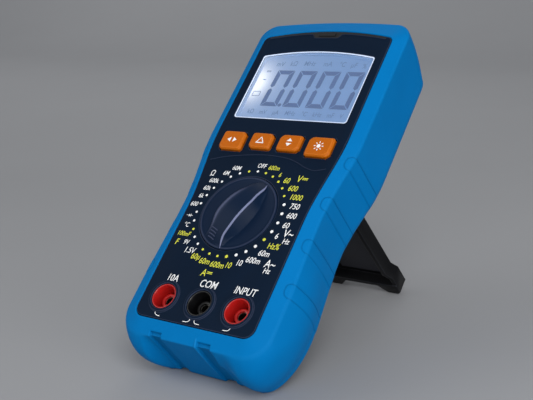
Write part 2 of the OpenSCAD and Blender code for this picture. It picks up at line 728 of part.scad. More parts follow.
module detent_springs() {
  color("silver") upright() at_dial() for (a = [0, 180]) rotate([0, 0, a])
    translate([drum_r - 4 + 0.1, 0, rotor_z - rotor_t / 2]) rotate([0, 90, 0])
      cylinder(r = 0.7, h = ball_at - ball_r - drum_r + 4 - 0.2);
}
module detent_balls() {
  color("silver") upright() at_dial() for (a = [0, 180]) rotate([0, 0, a])
    translate([ball_at, 0, rotor_z - rotor_t / 2]) sphere(r = ball_r);
}
module detent_ring() {
  color("whitesmoke") upright() translate([dial_x, 0, rotor_z - rotor_t - 0.6]) difference() {
    cylinder(r = ring_r + 2.4, h = -panel_t - rotor_z + rotor_t + 0.6, $fn = 96);
    translate([0, 0, -1]) cylinder(r = ring_r, h = far / 8, $fn = 96);
    for (i = [0:detents - 1]) rotate([0, 0, 90 - heading + i * 360 / detents])
      translate([ring_r, 0, -1]) cylinder(r = 0.8, h = far / 8, $fn = 24);
  }
}
module wiper_contacts() {
  color("goldenrod") upright() at_dial() for (i = [0:2]) rotate([0, 0, 120 * i + 30]) {
    r = track_r + track_pitch * i;
    block([r - wiper_w / 2, -wiper_l / 2, drum_z - wiper_t], [r + wiper_w / 2, wiper_l / 2, drum_z]);
    block([r - 0.4 * wiper_w, 0.35 * wiper_l, board_z + 0.5], [r + 0.4 * wiper_w, wiper_l / 2, drum_z]);
  }
}

// A push button: its bevelled cap, the flange behind the panel and the stem to its switch
module push_button(i) {
  top_scale = 1 - 1.6 / key_w[i];
  centre = [key_x[i], button_top - key_h[i] / 2];
  color("darkorange") upright() {
    slab(cap_back - eps, button_raise / 2) key_shape(i, 0);
    translate([centre[0], centre[1], button_raise / 2])
      linear_extrude(height = button_raise / 2, scale = top_scale, slices = 1)
      translate(-centre) key_shape(i, 0);
    slab(flange_back, cap_back) key_shape(i, flange);
    translate([centre[0], centre[1], stem_z]) cylinder(r = stem_r, h = flange_back - stem_z + eps);
  }
}
module mode_button() { push_button(0); }
module relative_button() { push_button(1); }
module peak_button() { push_button(2); }
module light_button() { push_button(3); }
module key_switches() {
  color("dimgray") upright() for (i = [0:3])
    translate([key_x[i], button_top - key_h[i] / 2, board_z + switch_h / 2]) {
      cube([switch_w, switch_w, switch_h - 0.4], center = true);
      cylinder(r = stem_r, h = switch_h, center = true);
    }
}

module main_board() {
  color("darkgreen") upright() difference() {
    intersection() {
      slab(board_back, board_z) polygon(case_outline(front_top, -wall - 0.5));
      block([-far / 4, board_bottom, -far / 4], [far / 4, far / 4, 0]);
    }
    at_screws() translate([0, 0, board_back - 1]) cylinder(r = post_r + 0.5, h = board_t + 2);
    for (p = board_screw_at) translate([p[0], p[1], board_back - 1])
      cylinder(r = board_screw_r + 0.15, h = board_t + 2);
    translate([dial_x, 0, board_back - 1]) cylinder(r = pivot_r + run, h = board_t + 2);
  }
}
module contact_tracks() {
  color("gold") upright() translate([dial_x, 0, board_z]) for (i = [0:2]) difference() {
    cylinder(r = track_r + track_pitch * i + track_w / 2, h = track_t, $fn = 64);
    translate([0, 0, -1]) cylinder(r = track_r + track_pitch * i - track_w / 2, h = track_t + 2, $fn = 64);
  }
}
module measuring_chip() {
  color("black") upright() block([chip_x, chip_y, board_back - chip_t],
    [chip_x + chip_w, chip_y + chip_w, board_back]);
}
module buzzer() {
  color("black") upright() translate([buzzer_x, buzzer_y, board_back - buzzer_h]) difference() {
    cylinder(r = buzzer_r, h = buzzer_h);
    translate([0, 0, -1]) cylinder(r = 0.12 * buzzer_r, h = 0.4 * buzzer_h + 1);
  }
}
// A bent bar of alloy between the current jack and the board
module current_shunt() {
  color("peru") upright() translate([shunt_x, shunt_y, board_back]) rotate([0, 90, 0]) {
    translate([shunt_h, 0, 0]) rotate([0, 0, -90]) rotate_extrude(angle = 180)
      translate([shunt_bend, 0]) circle(r = shunt_r);
    for (y = [-shunt_bend, shunt_bend]) translate([0, y, 0]) rotate([0, 90, 0])
      cylinder(r = shunt_r, h = shunt_h + eps);
  }
}
module surge_protectors() {
  color("royalblue") upright() for (i = [0, 1])
    translate([protector_x, protector_y + protector_pitch * i, board_back - protector_r]) rotate([90, 0, 0])
    cylinder(r = protector_r, h = protector_t, center = true);
}
module reservoir_capacitor() {
  color("midnightblue") upright() translate([capacitor_x, capacitor_y, board_back - capacitor_h])
    cylinder(r = capacitor_r, h = capacitor_h);
}
large_fuse_y = bay_bottom - 2 - large_fuse_r;
large_fuse_z = board_back - 0.8 - large_fuse_r;
small_fuse_x = -panel_waist_w / 2 + 7.6;
small_fuse_z = board_back - 0.8 - small_fuse_r;
small_fuse_mid = 8;
module fuse(r, l) {
  rotate([0, 90, 0]) cylinder(r = r, h = l, center = true);
}
module large_fuse() {
  color("white") upright() translate([0, large_fuse_y, large_fuse_z]) fuse(large_fuse_r, large_fuse_l);
}
module small_fuse() {
  color("white") upright() translate([small_fuse_x, small_fuse_mid, small_fuse_z]) rotate([0, 0, 90])
    fuse(small_fuse_r, small_fuse_l);
}
// A spring clip that holds one end of a fuse on the board
module fuse_clip(r) {
  difference() {
    block([-2.5, -r - 0.6, -r * 0.6], [2.5, r + 0.6, r + 0.8]);
    rotate([0, 90, 0]) cylinder(r = r + 0.05, h = 6, center = true);
  }
}
module fuse_clips() {
  color("silver") upright() {
    for (s = [-1, 1]) translate([s * (large_fuse_l / 2 - 4), large_fuse_y, large_fuse_z])
      fuse_clip(large_fuse_r);
    for (s = [-1, 1]) translate([small_fuse_x, small_fuse_mid + s * (small_fuse_l / 2 - 4), small_fuse_z])
      rotate([0, 0, 90]) fuse_clip(small_fuse_r);
  }
}

// A shrouded jack: a flared well round a boss that carries the contact
module jack(i, shade) {
  color(shade) upright() translate([jack_x[i], -jack_drop, 0]) difference() {
    translate([0, 0, -jack_depth - 1.5]) cylinder(r = jack_r, h = jack_depth + 1.5 + 0.5);
    rotate_extrude() polygon([[boss_r, -jack_depth], [well_r, -jack_depth], [well_r, -2.4],
      [jack_r - 0.5, 0.5],
      [jack_r - 0.5, 1], [0, 1], [0, -boss_sink], [boss_r, -boss_sink]]);
    translate([0, 0, -jack_depth - 2]) cylinder(r = contact_r + 0.05, h = jack_depth + 2 + contact_top);
    translate([0, 0, -boss_sink - 2]) cylinder(r = bore_r + 0.2, h = 3);
  }
}
module current_jack() { jack(0, "crimson"); }
module common_jack() { jack(1, "black"); }
module input_jack() { jack(2, "crimson"); }
module jack_contacts() {
  z1 = -jack_depth - 1.5;
  color("gold") upright() for (x = jack_x) translate([x, -jack_drop, 0]) {
    difference() {
      translate([0, 0, z1 - 0.8]) cylinder(r = contact_r, h = contact_top - z1 + 0.8);
      translate([0, 0, z1]) cylinder(r = bore_r, h = far / 8);
    }
    difference() {
      block([-2, 0, z1 - 0.8], [2, board_bottom + jack_drop + 1, z1 - 0.1]);
      translate([0, 0, z1 - 1]) cylinder(r = contact_r - 0.1, h = 1);
    }
    block([-2, board_bottom + jack_drop + 0.2, z1 - 0.8], [2, board_bottom + jack_drop + 1, board_back]);
  }
}

module battery() {
  z = battery_z + battery_t / 2;
  color("gray") upright() {
    translate([-battery_w / 2, battery_bottom, battery_z]) cube([battery_w, battery_l, battery_t]);
    for (x = [-6.35, 6.35]) translate([x, battery_bottom + eps, z]) rotate([90, 0, 0])
      cylinder(r = 3, h = terminal_h);
  }
}
module battery_contacts() {
  y1 = battery_bottom - terminal_h - fit;
  color("silver") upright() difference() {
    block([-11, y1 - contacts_t, battery_z + 3], [11, y1, board_back]);
    for (x = [-1, 1]) translate([x * 11, y1, battery_z]) cylinder(r = 1, h = 3);
  }
}
module battery_cover() {
  color([0.12, 0.12, 0.13]) upright() difference() {
    block([-cover_w / 2, cover_bottom, pan_z], [cover_w / 2, cover_top, pan_z + cover_t - 0.05]);
    translate([0, cover_screw_at, pan_z - 1]) cylinder(r = cover_screw_r + 0.1, h = cover_t + 2);
    translate([0, cover_screw_at, pan_z - 1]) cylinder(r = 2.3, h = 2);
    for (y = [0:3]) block([-7, cover_top - 5 - 2 * y, pan_z - 1], [7, cover_top - 4 - 2 * y, pan_z + 0.4]);
  }
}
// A cross-recessed screw with its head at the back
module screw(r, head, l, head_h) {
  difference() {
    union() {
      cylinder(r = r, h = l);
      cylinder(r = head, h = head_h);
    }
    translate([0, 0, 0.3]) cube([head * 1.1, 0.5, 1.2], center = true);
    translate([0, 0, 0.3]) cube([0.5, head * 1.1, 1.2], center = true);
  }
}
module battery_cover_screw() {
  color("silver") upright() translate([0, cover_screw_at, pan_z + 0.2])
    screw(cover_screw_r, 2.1, groove_z + wall - 1.6 - pan_z, 0.8);
}
module case_screws() {
  color("silver") upright() at_screws() translate([0, 0, case_z + 0.3])
    screw(screw_r, head_r, parting_z - case_z + 6, 1.9);
}
module board_screws() {
  color("silver") upright() for (p = board_screw_at) translate([p[0], p[1], board_back - 1.2])
    screw(board_screw_r, 1.8, board_t + 5, 1.2);
}

// The stand as it lies folded: Y runs back to the hinge, Z out of the back
module folded_stand() {
  half = stand_w / 2;
  foot_half = foot_w / 2;
  end = -stand_l;
  flare_top = end + foot_l + foot_flare;
  mitre = flange_t * tan(22.5);
  clipped = [[foot_half - foot_clip, end], [foot_half, end + foot_clip]];
  leg = concat(clipped, [[foot_half, end + foot_l], [half, flare_top]]);
  difference() {
    union() {
      mirrored() {
        slab(-plate_out, -plate_out + plate_t)
          polygon(concat([[-eps, end]], leg, [[half, -plate_start], [-eps, -plate_start]]));
        slab(-plate_out, flange_in) polygon(concat([[-eps, end]], clipped,
          [[foot_half, end + arch_h + flange_t], [-eps, end + arch_h + flange_t]]));
        slab(-plate_out, flange_in - 0.6) difference() {
          polygon(concat([[-eps, end]], leg, [[half, 0], [-eps, 0]]));
          polygon([[-1, end - 1], [foot_half - flange_t, end - 1],
            [foot_half - flange_t, end + foot_l - mitre], [half - flange_t, flare_top - mitre],
            [half - flange_t, 1], [-1, 1]]);
        }
        translate([half - flange_t, 0, 0]) rotate([0, 90, 0]) cylinder(r = plate_out, h = flange_t);
      }
    }
    translate([0, end - 1, -plate_out - 1]) linear_extrude(height = plate_out + flange_in + 2)
      polygon([[-arch_w / 2, 0], [arch_w / 2, 0], [arch_w / 2 - arch_h, arch_h + 1],
        [-arch_w / 2 + arch_h, arch_h + 1]]);
    translate([-far / 8, 0, 0]) rotate([0, 90, 0]) cylinder(r = pin_r + run, h = far / 4);
  }
}
module tilt_stand() {
  color([0.06, 0.06, 0.065]) upright() difference() {
    translate([0, hinge_up, hinge_z]) rotate([open_angle, 0, 0]) folded_stand();
    under_floor();
  }
}
module stand_pin() {
  color("silver") upright() translate([-stand_w / 2 + 0.2, hinge_up, hinge_z]) rotate([0, 90, 0])
    cylinder(r = pin_r, h = stand_w - 0.4);
}

holster();
front_case();
rear_case();
display_window();
sensor_lens();
lcd_glass();
lcd_backlight();
backlight_leds();
lcd_frame();
zebra_strip();
selector_knob();
switch_rotor();
wiper_contacts();
detent_ring();
detent_balls();
detent_springs();
mode_button();
relative_button();
peak_button();
light_button();
key_switches();
main_board();
contact_tracks();
measuring_chip();
buzzer();
current_shunt();
surge_protectors();
reservoir_capacitor();
large_fuse();
small_fuse();
fuse_clips();
current_jack();
common_jack();
input_jack();
jack_contacts();
battery();
battery_contacts();
battery_cover();
battery_cover_screw();
case_screws();
board_screws();
tilt_stand();
stand_pin();
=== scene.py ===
import json
import math

import bmesh
import bpy
from mathutils import Matrix, Vector


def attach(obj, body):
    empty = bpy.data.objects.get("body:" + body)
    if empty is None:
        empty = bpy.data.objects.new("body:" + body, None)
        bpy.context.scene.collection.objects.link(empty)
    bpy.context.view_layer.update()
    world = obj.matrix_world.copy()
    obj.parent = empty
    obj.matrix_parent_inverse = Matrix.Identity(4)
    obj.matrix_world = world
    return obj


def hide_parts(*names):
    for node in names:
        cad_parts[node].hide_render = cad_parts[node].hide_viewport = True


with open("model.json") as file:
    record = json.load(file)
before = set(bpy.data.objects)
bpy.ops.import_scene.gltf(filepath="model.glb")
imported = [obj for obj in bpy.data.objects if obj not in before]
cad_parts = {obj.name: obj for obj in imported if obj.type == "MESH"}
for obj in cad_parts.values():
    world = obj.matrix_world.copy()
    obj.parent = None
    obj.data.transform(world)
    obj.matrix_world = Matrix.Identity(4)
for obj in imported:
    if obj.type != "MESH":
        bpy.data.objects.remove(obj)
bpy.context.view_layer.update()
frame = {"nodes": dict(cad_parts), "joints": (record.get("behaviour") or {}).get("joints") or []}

bl_info = {
    "name": "Handheld multimeter",
    "version": (1, 0, 0),
    "blender": (4, 5, 0),
    "location": "View3D > Sidebar > Meter",
    "description": "Dresses a handheld multimeter: holster, face, selector, sockets, stand and stage",
    "category": "Object",
}

# The face's own frame, in millimetres: u across, v up the face, w out of the panel.
# Its origin is on the panel's centre line, level with the selector.
# The half widths of a waisted outline are at the top, the waist and the hip, then the waist's height.
PANEL_HALF = (34.8, 30.5, 30.5, 0.0)
CREASE_HALF = (40.8, 36.5, 37.7, 3.0)
OPENING_HALF = (27.0, 27.0, 27.0, 0.0)
SHOULDER = 43.5
HIP = 40.0
PANEL_BOTTOM = -54.4
PANEL_TOP = 100.0
PANEL_ARCH = 3.3
PANEL_ARCH_REACH = 32.0
PANEL_T = 2.4
PANEL_STEP = 0.8
PANEL_CORNERS = (4.4, 3.0)

# The two cases inside the holster, and the opening at its back
CASE_BOTTOM = -55.2
CASE_PROUD = 0.8
CASE_CORNERS = (4.4, 9.0)
CASE_Z = -33.0
PARTING_Z = -14.0
REAR_TOP = 94.8
FIT = 0.2
OPENING_SPAN = (-53.8, 86.8)
OPENING_CORNER = 6.0
SEAM = 0.28

# The holster: its crease, the wall that falls back from it, and the rounding at the back
RIM_DROP = 2.8
RIM_ARCH = 1.4
CREASE_TOP = 110.3
CREASE_BOTTOM = -61.7
WALL_Z = -29.5
BACK_Z = -35.0
BACK_INSET = 4.2
WALL_DRAFT = 0.8
WAIST_DRAFT = 1.5
HIP_SWELL = 3.0
TOP_SLOPE = 8.0
TOP_SWELL = 1.6
TOP_CORNERS = (9.0, 4.5)
FOOT_CORNER = 12.0
FOOT_SOFT = 0.55
# The way out of the bevel round the panel, outwards and up
BEVEL_OUT = (0.40, 0.917)
# Where the foot ends and the sides begin, and a depth below every pad, groove and rib
SIDE_U = 26.0
PAST_RELIEF = -40.0

# The grip pads on its sides
PAD_V = (31.7, 11.0, -9.7, -30.4)
PAD_H = 6.2
PAD_REACH = 3.2
PAD_ROUND = 2.4
PAD_SPAN = (-45.0, 40.0)

# The foot: two lobes with a hollow between them, a shelf, two grooves and a thin rib
FOOT_SLOPE = 2.0
LOBE = 4.6
LOBE_CREST = 0.45
LOBE_END = 0.2
LOBE_FLANKS = ((-25.0, -20.0), (17.0, 25.0))
SHELF = (12.5, 0.35, -12.0)
GROOVES = ((-19.4, -13.4), (5.4, 12.2))
GROOVE_REACH = 2.2
RIB_U = 4.8
RIB_W = 0.32
RIB_REACH = 3.4
RIB_END = -24.0
FOOT_REACH = 25.7

# The window and what lies under it
WINDOW_HALF = 30.1
WINDOW_SPAN = (50.7, 88.0)
WINDOW_CORNER = 1.2
WINDOW_ARCH = 2.9
FILM_Z = -2.25
FILM_T = 0.04
FILM_HALF = 30.2
FILM_SPAN = (50.3, 88.3)
FILM_ARCH_REACH = 28.9
GASKET = ((-0.05, -1.86), (-0.05, -1.72), (-1.3, -1.72), (-1.3, FILM_Z + 0.02), (-1.14, FILM_Z + 0.02),
          (-1.14, -1.86))
WINDOW_RIM = ((0.14, -0.5), (0.14, -0.1), (-0.04, -0.04), (-0.3, -0.2), (-0.3, -0.28))
# The lamp's glow, near it and far from it: centre, spread and strength
GLOW = (((-29.5, 72.0), (7.5, 9.5), 1.2), ((-31.0, 71.0), (26.0, 24.0), 0.16))
DIGITS = 4
DIGIT_START = (-20.2, 58.9)
DIGIT_STEP = 12.49
DIGIT_SIZE = (9.6, 21.4)
DIGIT_SLANT = 0.05
BAR_T = 2.35
BAR_GAP = 0.2
POINT = (-9.4, 59.8, 0.95)
# The faint unit signs over and under the digits: text, place and height
DISPLAY_SIGNS = (("mV", -19.6, 84.0, 2.9), ("kΩ", -12.2, 84.4, 2.9), ("MHz", -3.4, 84.6, 2.9),
                 ("mA", 6.4, 84.6, 2.9), ("°C", 14.2, 84.5, 2.9), ("µF", 20.4, 84.2, 2.9),
                 ("%", 26.0, 83.8, 2.9), ("⎓", -24.4, 79.2, 3.0), ("~", -24.7, 74.6, 3.0),
                 ("kΩ", -23.6, 55.3, 2.6), ("mV", -16.6, 55.3, 2.6), ("µA", -9.6, 55.3, 2.6),
                 ("MHz", -1.6, 55.3, 2.6), ("°C", 6.0, 55.3, 2.6), ("kHz", 12.8, 55.3, 2.6),
                 ("mF", 19.8, 55.3, 2.6), ("V", 25.4, 55.3, 2.6))
CELL_SIGN = ((-27.4, 64.6), (-23.4, 64.6), (-23.4, 67.2), (-27.4, 67.2), (-27.4, 64.6))

# The selector: the ring of dots, the disc from its middle over its rim, its crest and hub, and a leaf-shaped
# grip given as shares along it and across it
DIAL_U = -2.5
DOT_R = 21.75
KNOB_R = 18.6
KNOB_TURN = -24.0
KNOB_RIM = ((0.0, -0.05), (16.7, -0.05), (17.1, 0.02), (17.4, 0.22), (17.7, 0.32), (18.1, 0.32), (18.4, 0.22),
            (18.55, 0.02), (KNOB_R, -0.3), (KNOB_R, -2.2))
# Where the rim's crest is painted with a faint highlight
RIM_CREST = (17.6, 18.2)
HUB_R = 6.0
GRIP_SHAPE = ((0.94, 0.16), (0.80, 0.42), (0.56, 0.66), (0.35, 0.88), (0.04, 1.0),
              (-0.30, 0.99), (-0.48, 0.92), (-0.67, 0.82), (-0.94, 0.86))
GRIP_HALF = 8.2
GRIP_CREST = 6.0
GRIP_H = 5.5
GRIP_ARC = 30.0
# How strongly the grip's left rounding is painted with a highlight
GLEAM = 0.42
FINGER_RIDGES = 4
FINGER_START = -11.8
FINGER_STEP = -1.3
FINGER_SIZE = (0.6, 0.2)
FINGER_LINE = (-2.3, -1.6, -0.8, 0.2, 1.2, 1.6)

# A key's cap from its foot to its top: share of its width, share of its height, wear, and painted shade where
# its foot meets the panel
KEY_CUT = -0.3
KEY_RINGS = ((1.0, -0.17, 0.0, 0.8), (1.0, 0.1, 0.0, 0.4), (1.0, 0.44, 0.0, 0.0), (0.985, 0.58, 0.2, 0.0),
             (0.945, 0.74, 0.0, 0.0), (0.905, 0.86, 0.0, 0.0), (0.872, 0.94, 0.4, 0.0),
             (0.84, 0.985, 0.3, 0.0), (0.80, 1.0, 0.0, 0.0))

# The sockets: their places, and a cut through one from its outer wall over the rim into the well
JACK_U = (-19.05, 0.0, 19.05)
JACK_V = -44.2
JACK_CUT = ((5.75, -20.5), (5.75, 0.25), (5.68, 0.42), (5.52, 0.5), (5.36, 0.5), (5.24, 0.42), (5.12, 0.2),
            (4.78, -2.1), (4.71, -2.5), (4.7, -19.0), (3.5, -19.0), (3.5, -4.35), (3.42, -4.1), (3.2, -4.0),
            (2.42, -4.0), (2.26, -4.06), (2.2, -4.25), (2.2, -6.0), (2.65, -6.0), (2.65, -20.5))

# The stand, in its own frame from the hinge along the plate
STAND_HINGE = (0.0, 38.5, -31.6)
STAND_OPEN = 87.8245
RIB_LINE = ((13.0, -6.0), (13.0, -40.0), (13.0, -70.0), (15.8, -73.4), (15.8, -80.0))
RIB_SIZE = (1.4, 0.42)
PLATE_Z = -0.8
WEB_SIZE = (24.0, 69.0, 0.4)
WEB_PLACE = (0.0, -42.7, -0.78)

# Each selector position clockwise from the top: its colour, its number and where that stands on the face
RANGES = (("w", "OFF", -1.7, 24.7), ("y", "600m", 5.0, 24.2), ("y", "6", 9.6, 21.0),
          ("y", "60", 14.1, 18.5), ("y", "600", 18.9, 14.9), ("y", "1000", 22.3, 10.7),
          ("w", "750", 23.6, 6.3), ("w", "600", 24.1, 1.7), ("w", "60", 23.5, -3.1),
          ("w", "6", 21.4, -8.6), ("y", "Hz%", 22.1, -13.5), ("w", "60m", 19.2, -17.3),
          ("w", "600m", 15.6, -21.2), ("w", "10", 9.5, -23.3), ("y", "10", 4.8, -25.2),
          ("y", "600m", -0.7, -25.9), ("y", "60m", -7.7, -25.2), ("y", "60µ", -13.2, -23.7),
          ("w", "1.5V", -17.9, -21.3), ("w", "9V", -21.7, -17.7), ("y", "100mF", -25.2, -13.8),
          ("w", "°C", -26.1, -9.3), ("w", "", -26.9, -4.4), ("w", "600", -27.6, 1.6),
          ("w", "6k", -26.1, 6.2), ("w", "60k", -25.0, 10.4), ("w", "600k", -23.2, 14.6),
          ("w", "6M", -18.6, 19.2), ("w", "60M", -14.3, 22.3), ("y", "", 0.0, 0.0))
DIODE = 22
# Radii of the dots and heights of the numbers, which are larger on the right
DOT, BIG_DOT = 0.58, 0.72
BIG_DOTS = range(6, 15)
CAP, BIG_CAP = 2.35, 2.85
# The type: its capitals' share of the size, weight, width and slant
TYPE_CAP = 0.72
TYPE_WEIGHT = 0.008
TYPE_WIDTH = 0.8
TYPE_SLANT = 0.14
# Unit signs beside the ranges and names over the sockets: colour, text, place and height
UNITS = (("w", "Ω", -25.9, 18.4, 3.0), ("y", "V⎓", 21.4, 19.9, 3.4), ("w", "V~", 26.4, -6.8, 3.7),
         ("w", "Hz", 26.8, -10.4, 2.6), ("w", "A~", 24.2, -21.6, 3.7), ("w", "Hz", 24.0, -24.8, 2.6),
         ("y", "A⎓", -3.8, -30.4, 3.4), ("y", "F", -26.7, -18.2, 3.0),
         ("w", "10A", -19.4, -35.3, 3.3), ("w", "COM", -0.2, -35.3, 3.5), ("w", "INPUT", 18.6, -35.3, 3.4))
# The moulded line between the keys and the selector
STEP_LINE = ((-31.0, 25.6), (-24.6, 27.6), (-18.6, 28.8), (-9.9, 30.0), (-1.1, 30.6), (8.1, 30.0),
             (13.9, 28.6), (19.1, 26.4), (22.1, 25.4), (25.6, 24.9), (30.6, 26.2))
# The moulded line under the panel's top edge: its left half, down to the tab in the middle
EDGE_SPAN = (-33.2, -8.6)
EDGE_INSET = 1.5
TAB_START = -8.0
TAB_LINE = ((-6.6, 99.35), (-6.2, 99.2), (-5.6, 99.15))
# How far the painted shadow band stops short of the panel's top edge
SHADOW_BAND_INSET = 0.2
# A cut across a moulded line: share of its width and share of its height
RIDGE_CUT = ((-0.5, -0.1), (-0.42, 0.55), (-0.2, 0.95), (0.0, 1.0), (0.2, 0.95), (0.42, 0.55), (0.5, -0.1))
# The marks that join the sockets
SOCKET_MARKS = (((-20.0, -50.9), (-19.6, -52.2), (-18.3, -53.0), (-16.8, -53.1)),
                ((-4.2, -53.1), (-2.2, -53.0), (-1.3, -52.2), (-1.1, -50.9)),
                ((1.1, -50.9), (1.3, -52.2), (2.2, -53.0), (4.2, -53.1)),
                ((16.2, -53.1), (18.2, -53.0), (19.2, -52.2), (19.4, -50.9)))

# The studio, in metres: each light's name, place, target, width and power
OBJECT_MIDDLE = (0.0, 0.0, 0.07)
LIGHTS = (("key", (0.75, -0.75, 0.95), OBJECT_MIDDLE, 0.7, 9.3),
          ("fill", (-0.9, -0.7, 0.8), OBJECT_MIDDLE, 0.9, 3.4),
          ("rim", (-0.4, 0.8, 0.9), OBJECT_MIDDLE, 0.6, 1.6),
          ("low", (0.75, -0.25, 0.08), (0.02, -0.04, 0.04), 0.4, 3.0),
          ("front", (0.3, -1.1, 0.12), OBJECT_MIDDLE, 0.5, 3.7),
          ("backdrop", (-1.3, 0.4, 1.4), (-1.7, 1.8, 0.9), 1.0, 10.0))
SKY = (0.96, 0.98, 1.0, 1.0)
SKY_STRENGTH = 0.35
FLOOR_REACH = 5.0
FLOOR_BEND = (1.1, 0.7)
FLOOR_TOP = 4.0
FLOOR_DROP = 0.0002

# The camera, solved from the ring of dots: its place and axes in the face's frame, its focal length and
# the picture's width in pixels
CAMERA_SPOT = (230.48, -153.52, 279.65)
CAMERA_AXES = ((0.8182, 0.3854, -0.4266), (-0.0993, 0.8256, 0.5555), (0.5663, -0.4121, 0.7138))
FOCAL_PIXELS = 922.2
PICTURE_PIXELS = 533.0
SENSOR_MM = 36.0

# What each CAD node is finished in
FINISH = {
    "holster": ("holster",),
    "panel": ("front_case",),
    "rear": ("rear_case", "battery_cover"),
    "window": ("display_window",),
    "lens": ("sensor_lens",),
    "lcd": ("lcd_glass",),
    "light_guide": ("lcd_backlight",),
    "white_plastic": ("backlight_leds", "lcd_frame", "switch_rotor", "detent_ring"),
    "strip": ("zebra_strip",),
    "knob": ("selector_knob",),
    "brass": ("wiper_contacts", "contact_tracks", "current_shunt"),
    "nickel": ("jack_contacts",),
    "steel": ("detent_balls", "detent_springs", "fuse_clips", "battery_contacts",
              "battery_cover_screw", "case_screws", "board_screws", "stand_pin"),
    "button": ("mode_button", "relative_button", "peak_button", "light_button"),
    "component": ("key_switches", "measuring_chip", "buzzer", "reservoir_capacitor"),
    "board": ("main_board",),
    "protector": ("surge_protectors",),
    "ceramic": ("large_fuse", "small_fuse"),
    "red_jack": ("current_jack", "input_jack"),
    "black_jack": ("common_jack",),
    "battery": ("battery",),
    "stand": ("tilt_stand",),
}


def linear(code):
    """A colour written as on screen, as the linear colour that a shader takes."""
    parts = [int(code[i:i + 2], 16) / 255.0 for i in (0, 2, 4)]
    return tuple(c / 12.92 if c <= 0.04045 else ((c + 0.055) / 1.055) ** 2.4 for c in parts)


def shade(colour, share):
    """The colour made lighter (share above 1) or darker, with full opacity."""
    return tuple(min(1.0, c * share) for c in colour[:3]) + (1.0,)


def face_matrix():
    """From millimetres in the face's frame to metres in the world."""
    turn = next(j for j in frame["joints"] if j["name"] == "selector_turn")
    out = Vector(turn["axis"]).normalized()
    across = Vector((1.0, 0.0, 0.0))
    up = out.cross(across)
    start = Vector(turn["pos_m"]) - across * DIAL_U * 0.001
    turned = Matrix((across, up, out)).transposed().to_4x4()
    return Matrix.Translation(start) @ turned @ Matrix.Scale(0.001, 4)


FACE = face_matrix()


def length(name, mm, text):
    """A size setting, given here in millimetres and kept in metres."""
    return bpy.props.FloatProperty(name=name, description=text, unit="LENGTH", precision=5, min=0.0,
                                   default=mm * 0.001)


class MeterSizes(bpy.types.PropertyGroup):
    """Sizes of the looks that the frame leaves to the scene."""
    crease: length("Crease", 1.1, "How far the soft edge reaches each side of the holster's crease")
    pad_raise: length("Pad height", 0.14, "How far a grip pad stands out of the holster")
    pad_line: length("Pad line", 0.3, "Depth of the line round a grip pad")
    groove: length("Groove", 1.2, "Depth of the two grooves at the holster's foot")
    rib: length("Rib", 0.35, "Height of the thin rib beside a groove")
    edge: length("Edge", 0.3, "Width of the soft edge on hard mouldings")
    key_corner: length("Key corner", 0.9, "Rounding of a button's upright corners")
    grip_edge: length("Grip edge", 0.5, "Chamfer along the right of the selector's grip")
    grip_round: length("Grip rounding", 2.4, "Rounding along the left of the selector's grip")
    ridge_w: length("Ridge width", 0.55, "Width of the moulded lines on the panel")
    ridge_h: length("Ridge height", 0.3, "Height of the moulded lines on the panel")
    ink: length("Ink", 0.03, "Thickness of the printed ink")


def tint(name, code, text):
    """A colour setting shown with its plain name."""
    return bpy.props.FloatVectorProperty(name=name, description=text, subtype="COLOR", size=3,
                                         min=0.0, max=1.0, default=linear(code))


class MeterColours(bpy.types.PropertyGroup):
    """Colours of the outer surfaces."""
    holster: tint("Holster", "006EAF", "Rubbery holster")
    panel: tint("Panel", "0D1B2D", "Front panel")
    knob: tint("Knob", "0F1F36", "Selector")
    button: tint("Buttons", "B85D05", "Push buttons")
    red: tint("Red sockets", "A81614", "Live sockets")
    black: tint("Black socket", "08080A", "Common socket")
    rear: tint("Rear", "17181B", "Rear case")
    stand: tint("Stand", "08090C", "Tilt stand")
    display: tint("Display", "607CA2", "Lit display")
    segment: tint("Segments", "43587E", "Display segments")
    white: tint("White print", "F2F3F4", "White lettering")
    yellow: tint("Yellow print", "D8D93C", "Yellow lettering")
    floor: tint("Floor", "9C9DA0", "Floor and backdrop")


def size(name):
    """One of the size settings in millimetres."""
    return getattr(bpy.context.scene.meter_sizes, name) * 1000.0


def colours():
    """The colour settings."""
    return bpy.context.scene.meter_colours


def pattern(mm):
    """The scale of a pattern whose one repeat is so many millimetres wide."""
    return 1000.0 / mm


def feed(tree, node, values):
    """Set a node's inputs to numbers, or link them to sockets."""
    for key, value in values.items():
        if isinstance(value, bpy.types.NodeSocket):
            tree.links.new(value, node.inputs[key])
        else:
            node.inputs[key].default_value = value


def add(tree, kind, values=None, **settings):
    """Add a node with its own settings and its inputs."""
    node = tree.nodes.new(kind)
    for key, value in settings.items():
        setattr(node, key, value)
    feed(tree, node, values or {})
    return node


def blank(name):
    """A new material, its node tree, its main shader and the object's own coordinates."""
    material = bpy.data.materials.new(name)
    material.use_nodes = True
    tree = material.node_tree
    place = add(tree, "ShaderNodeTexCoord").outputs["Object"]
    return material, tree, tree.nodes["Principled BSDF"], place


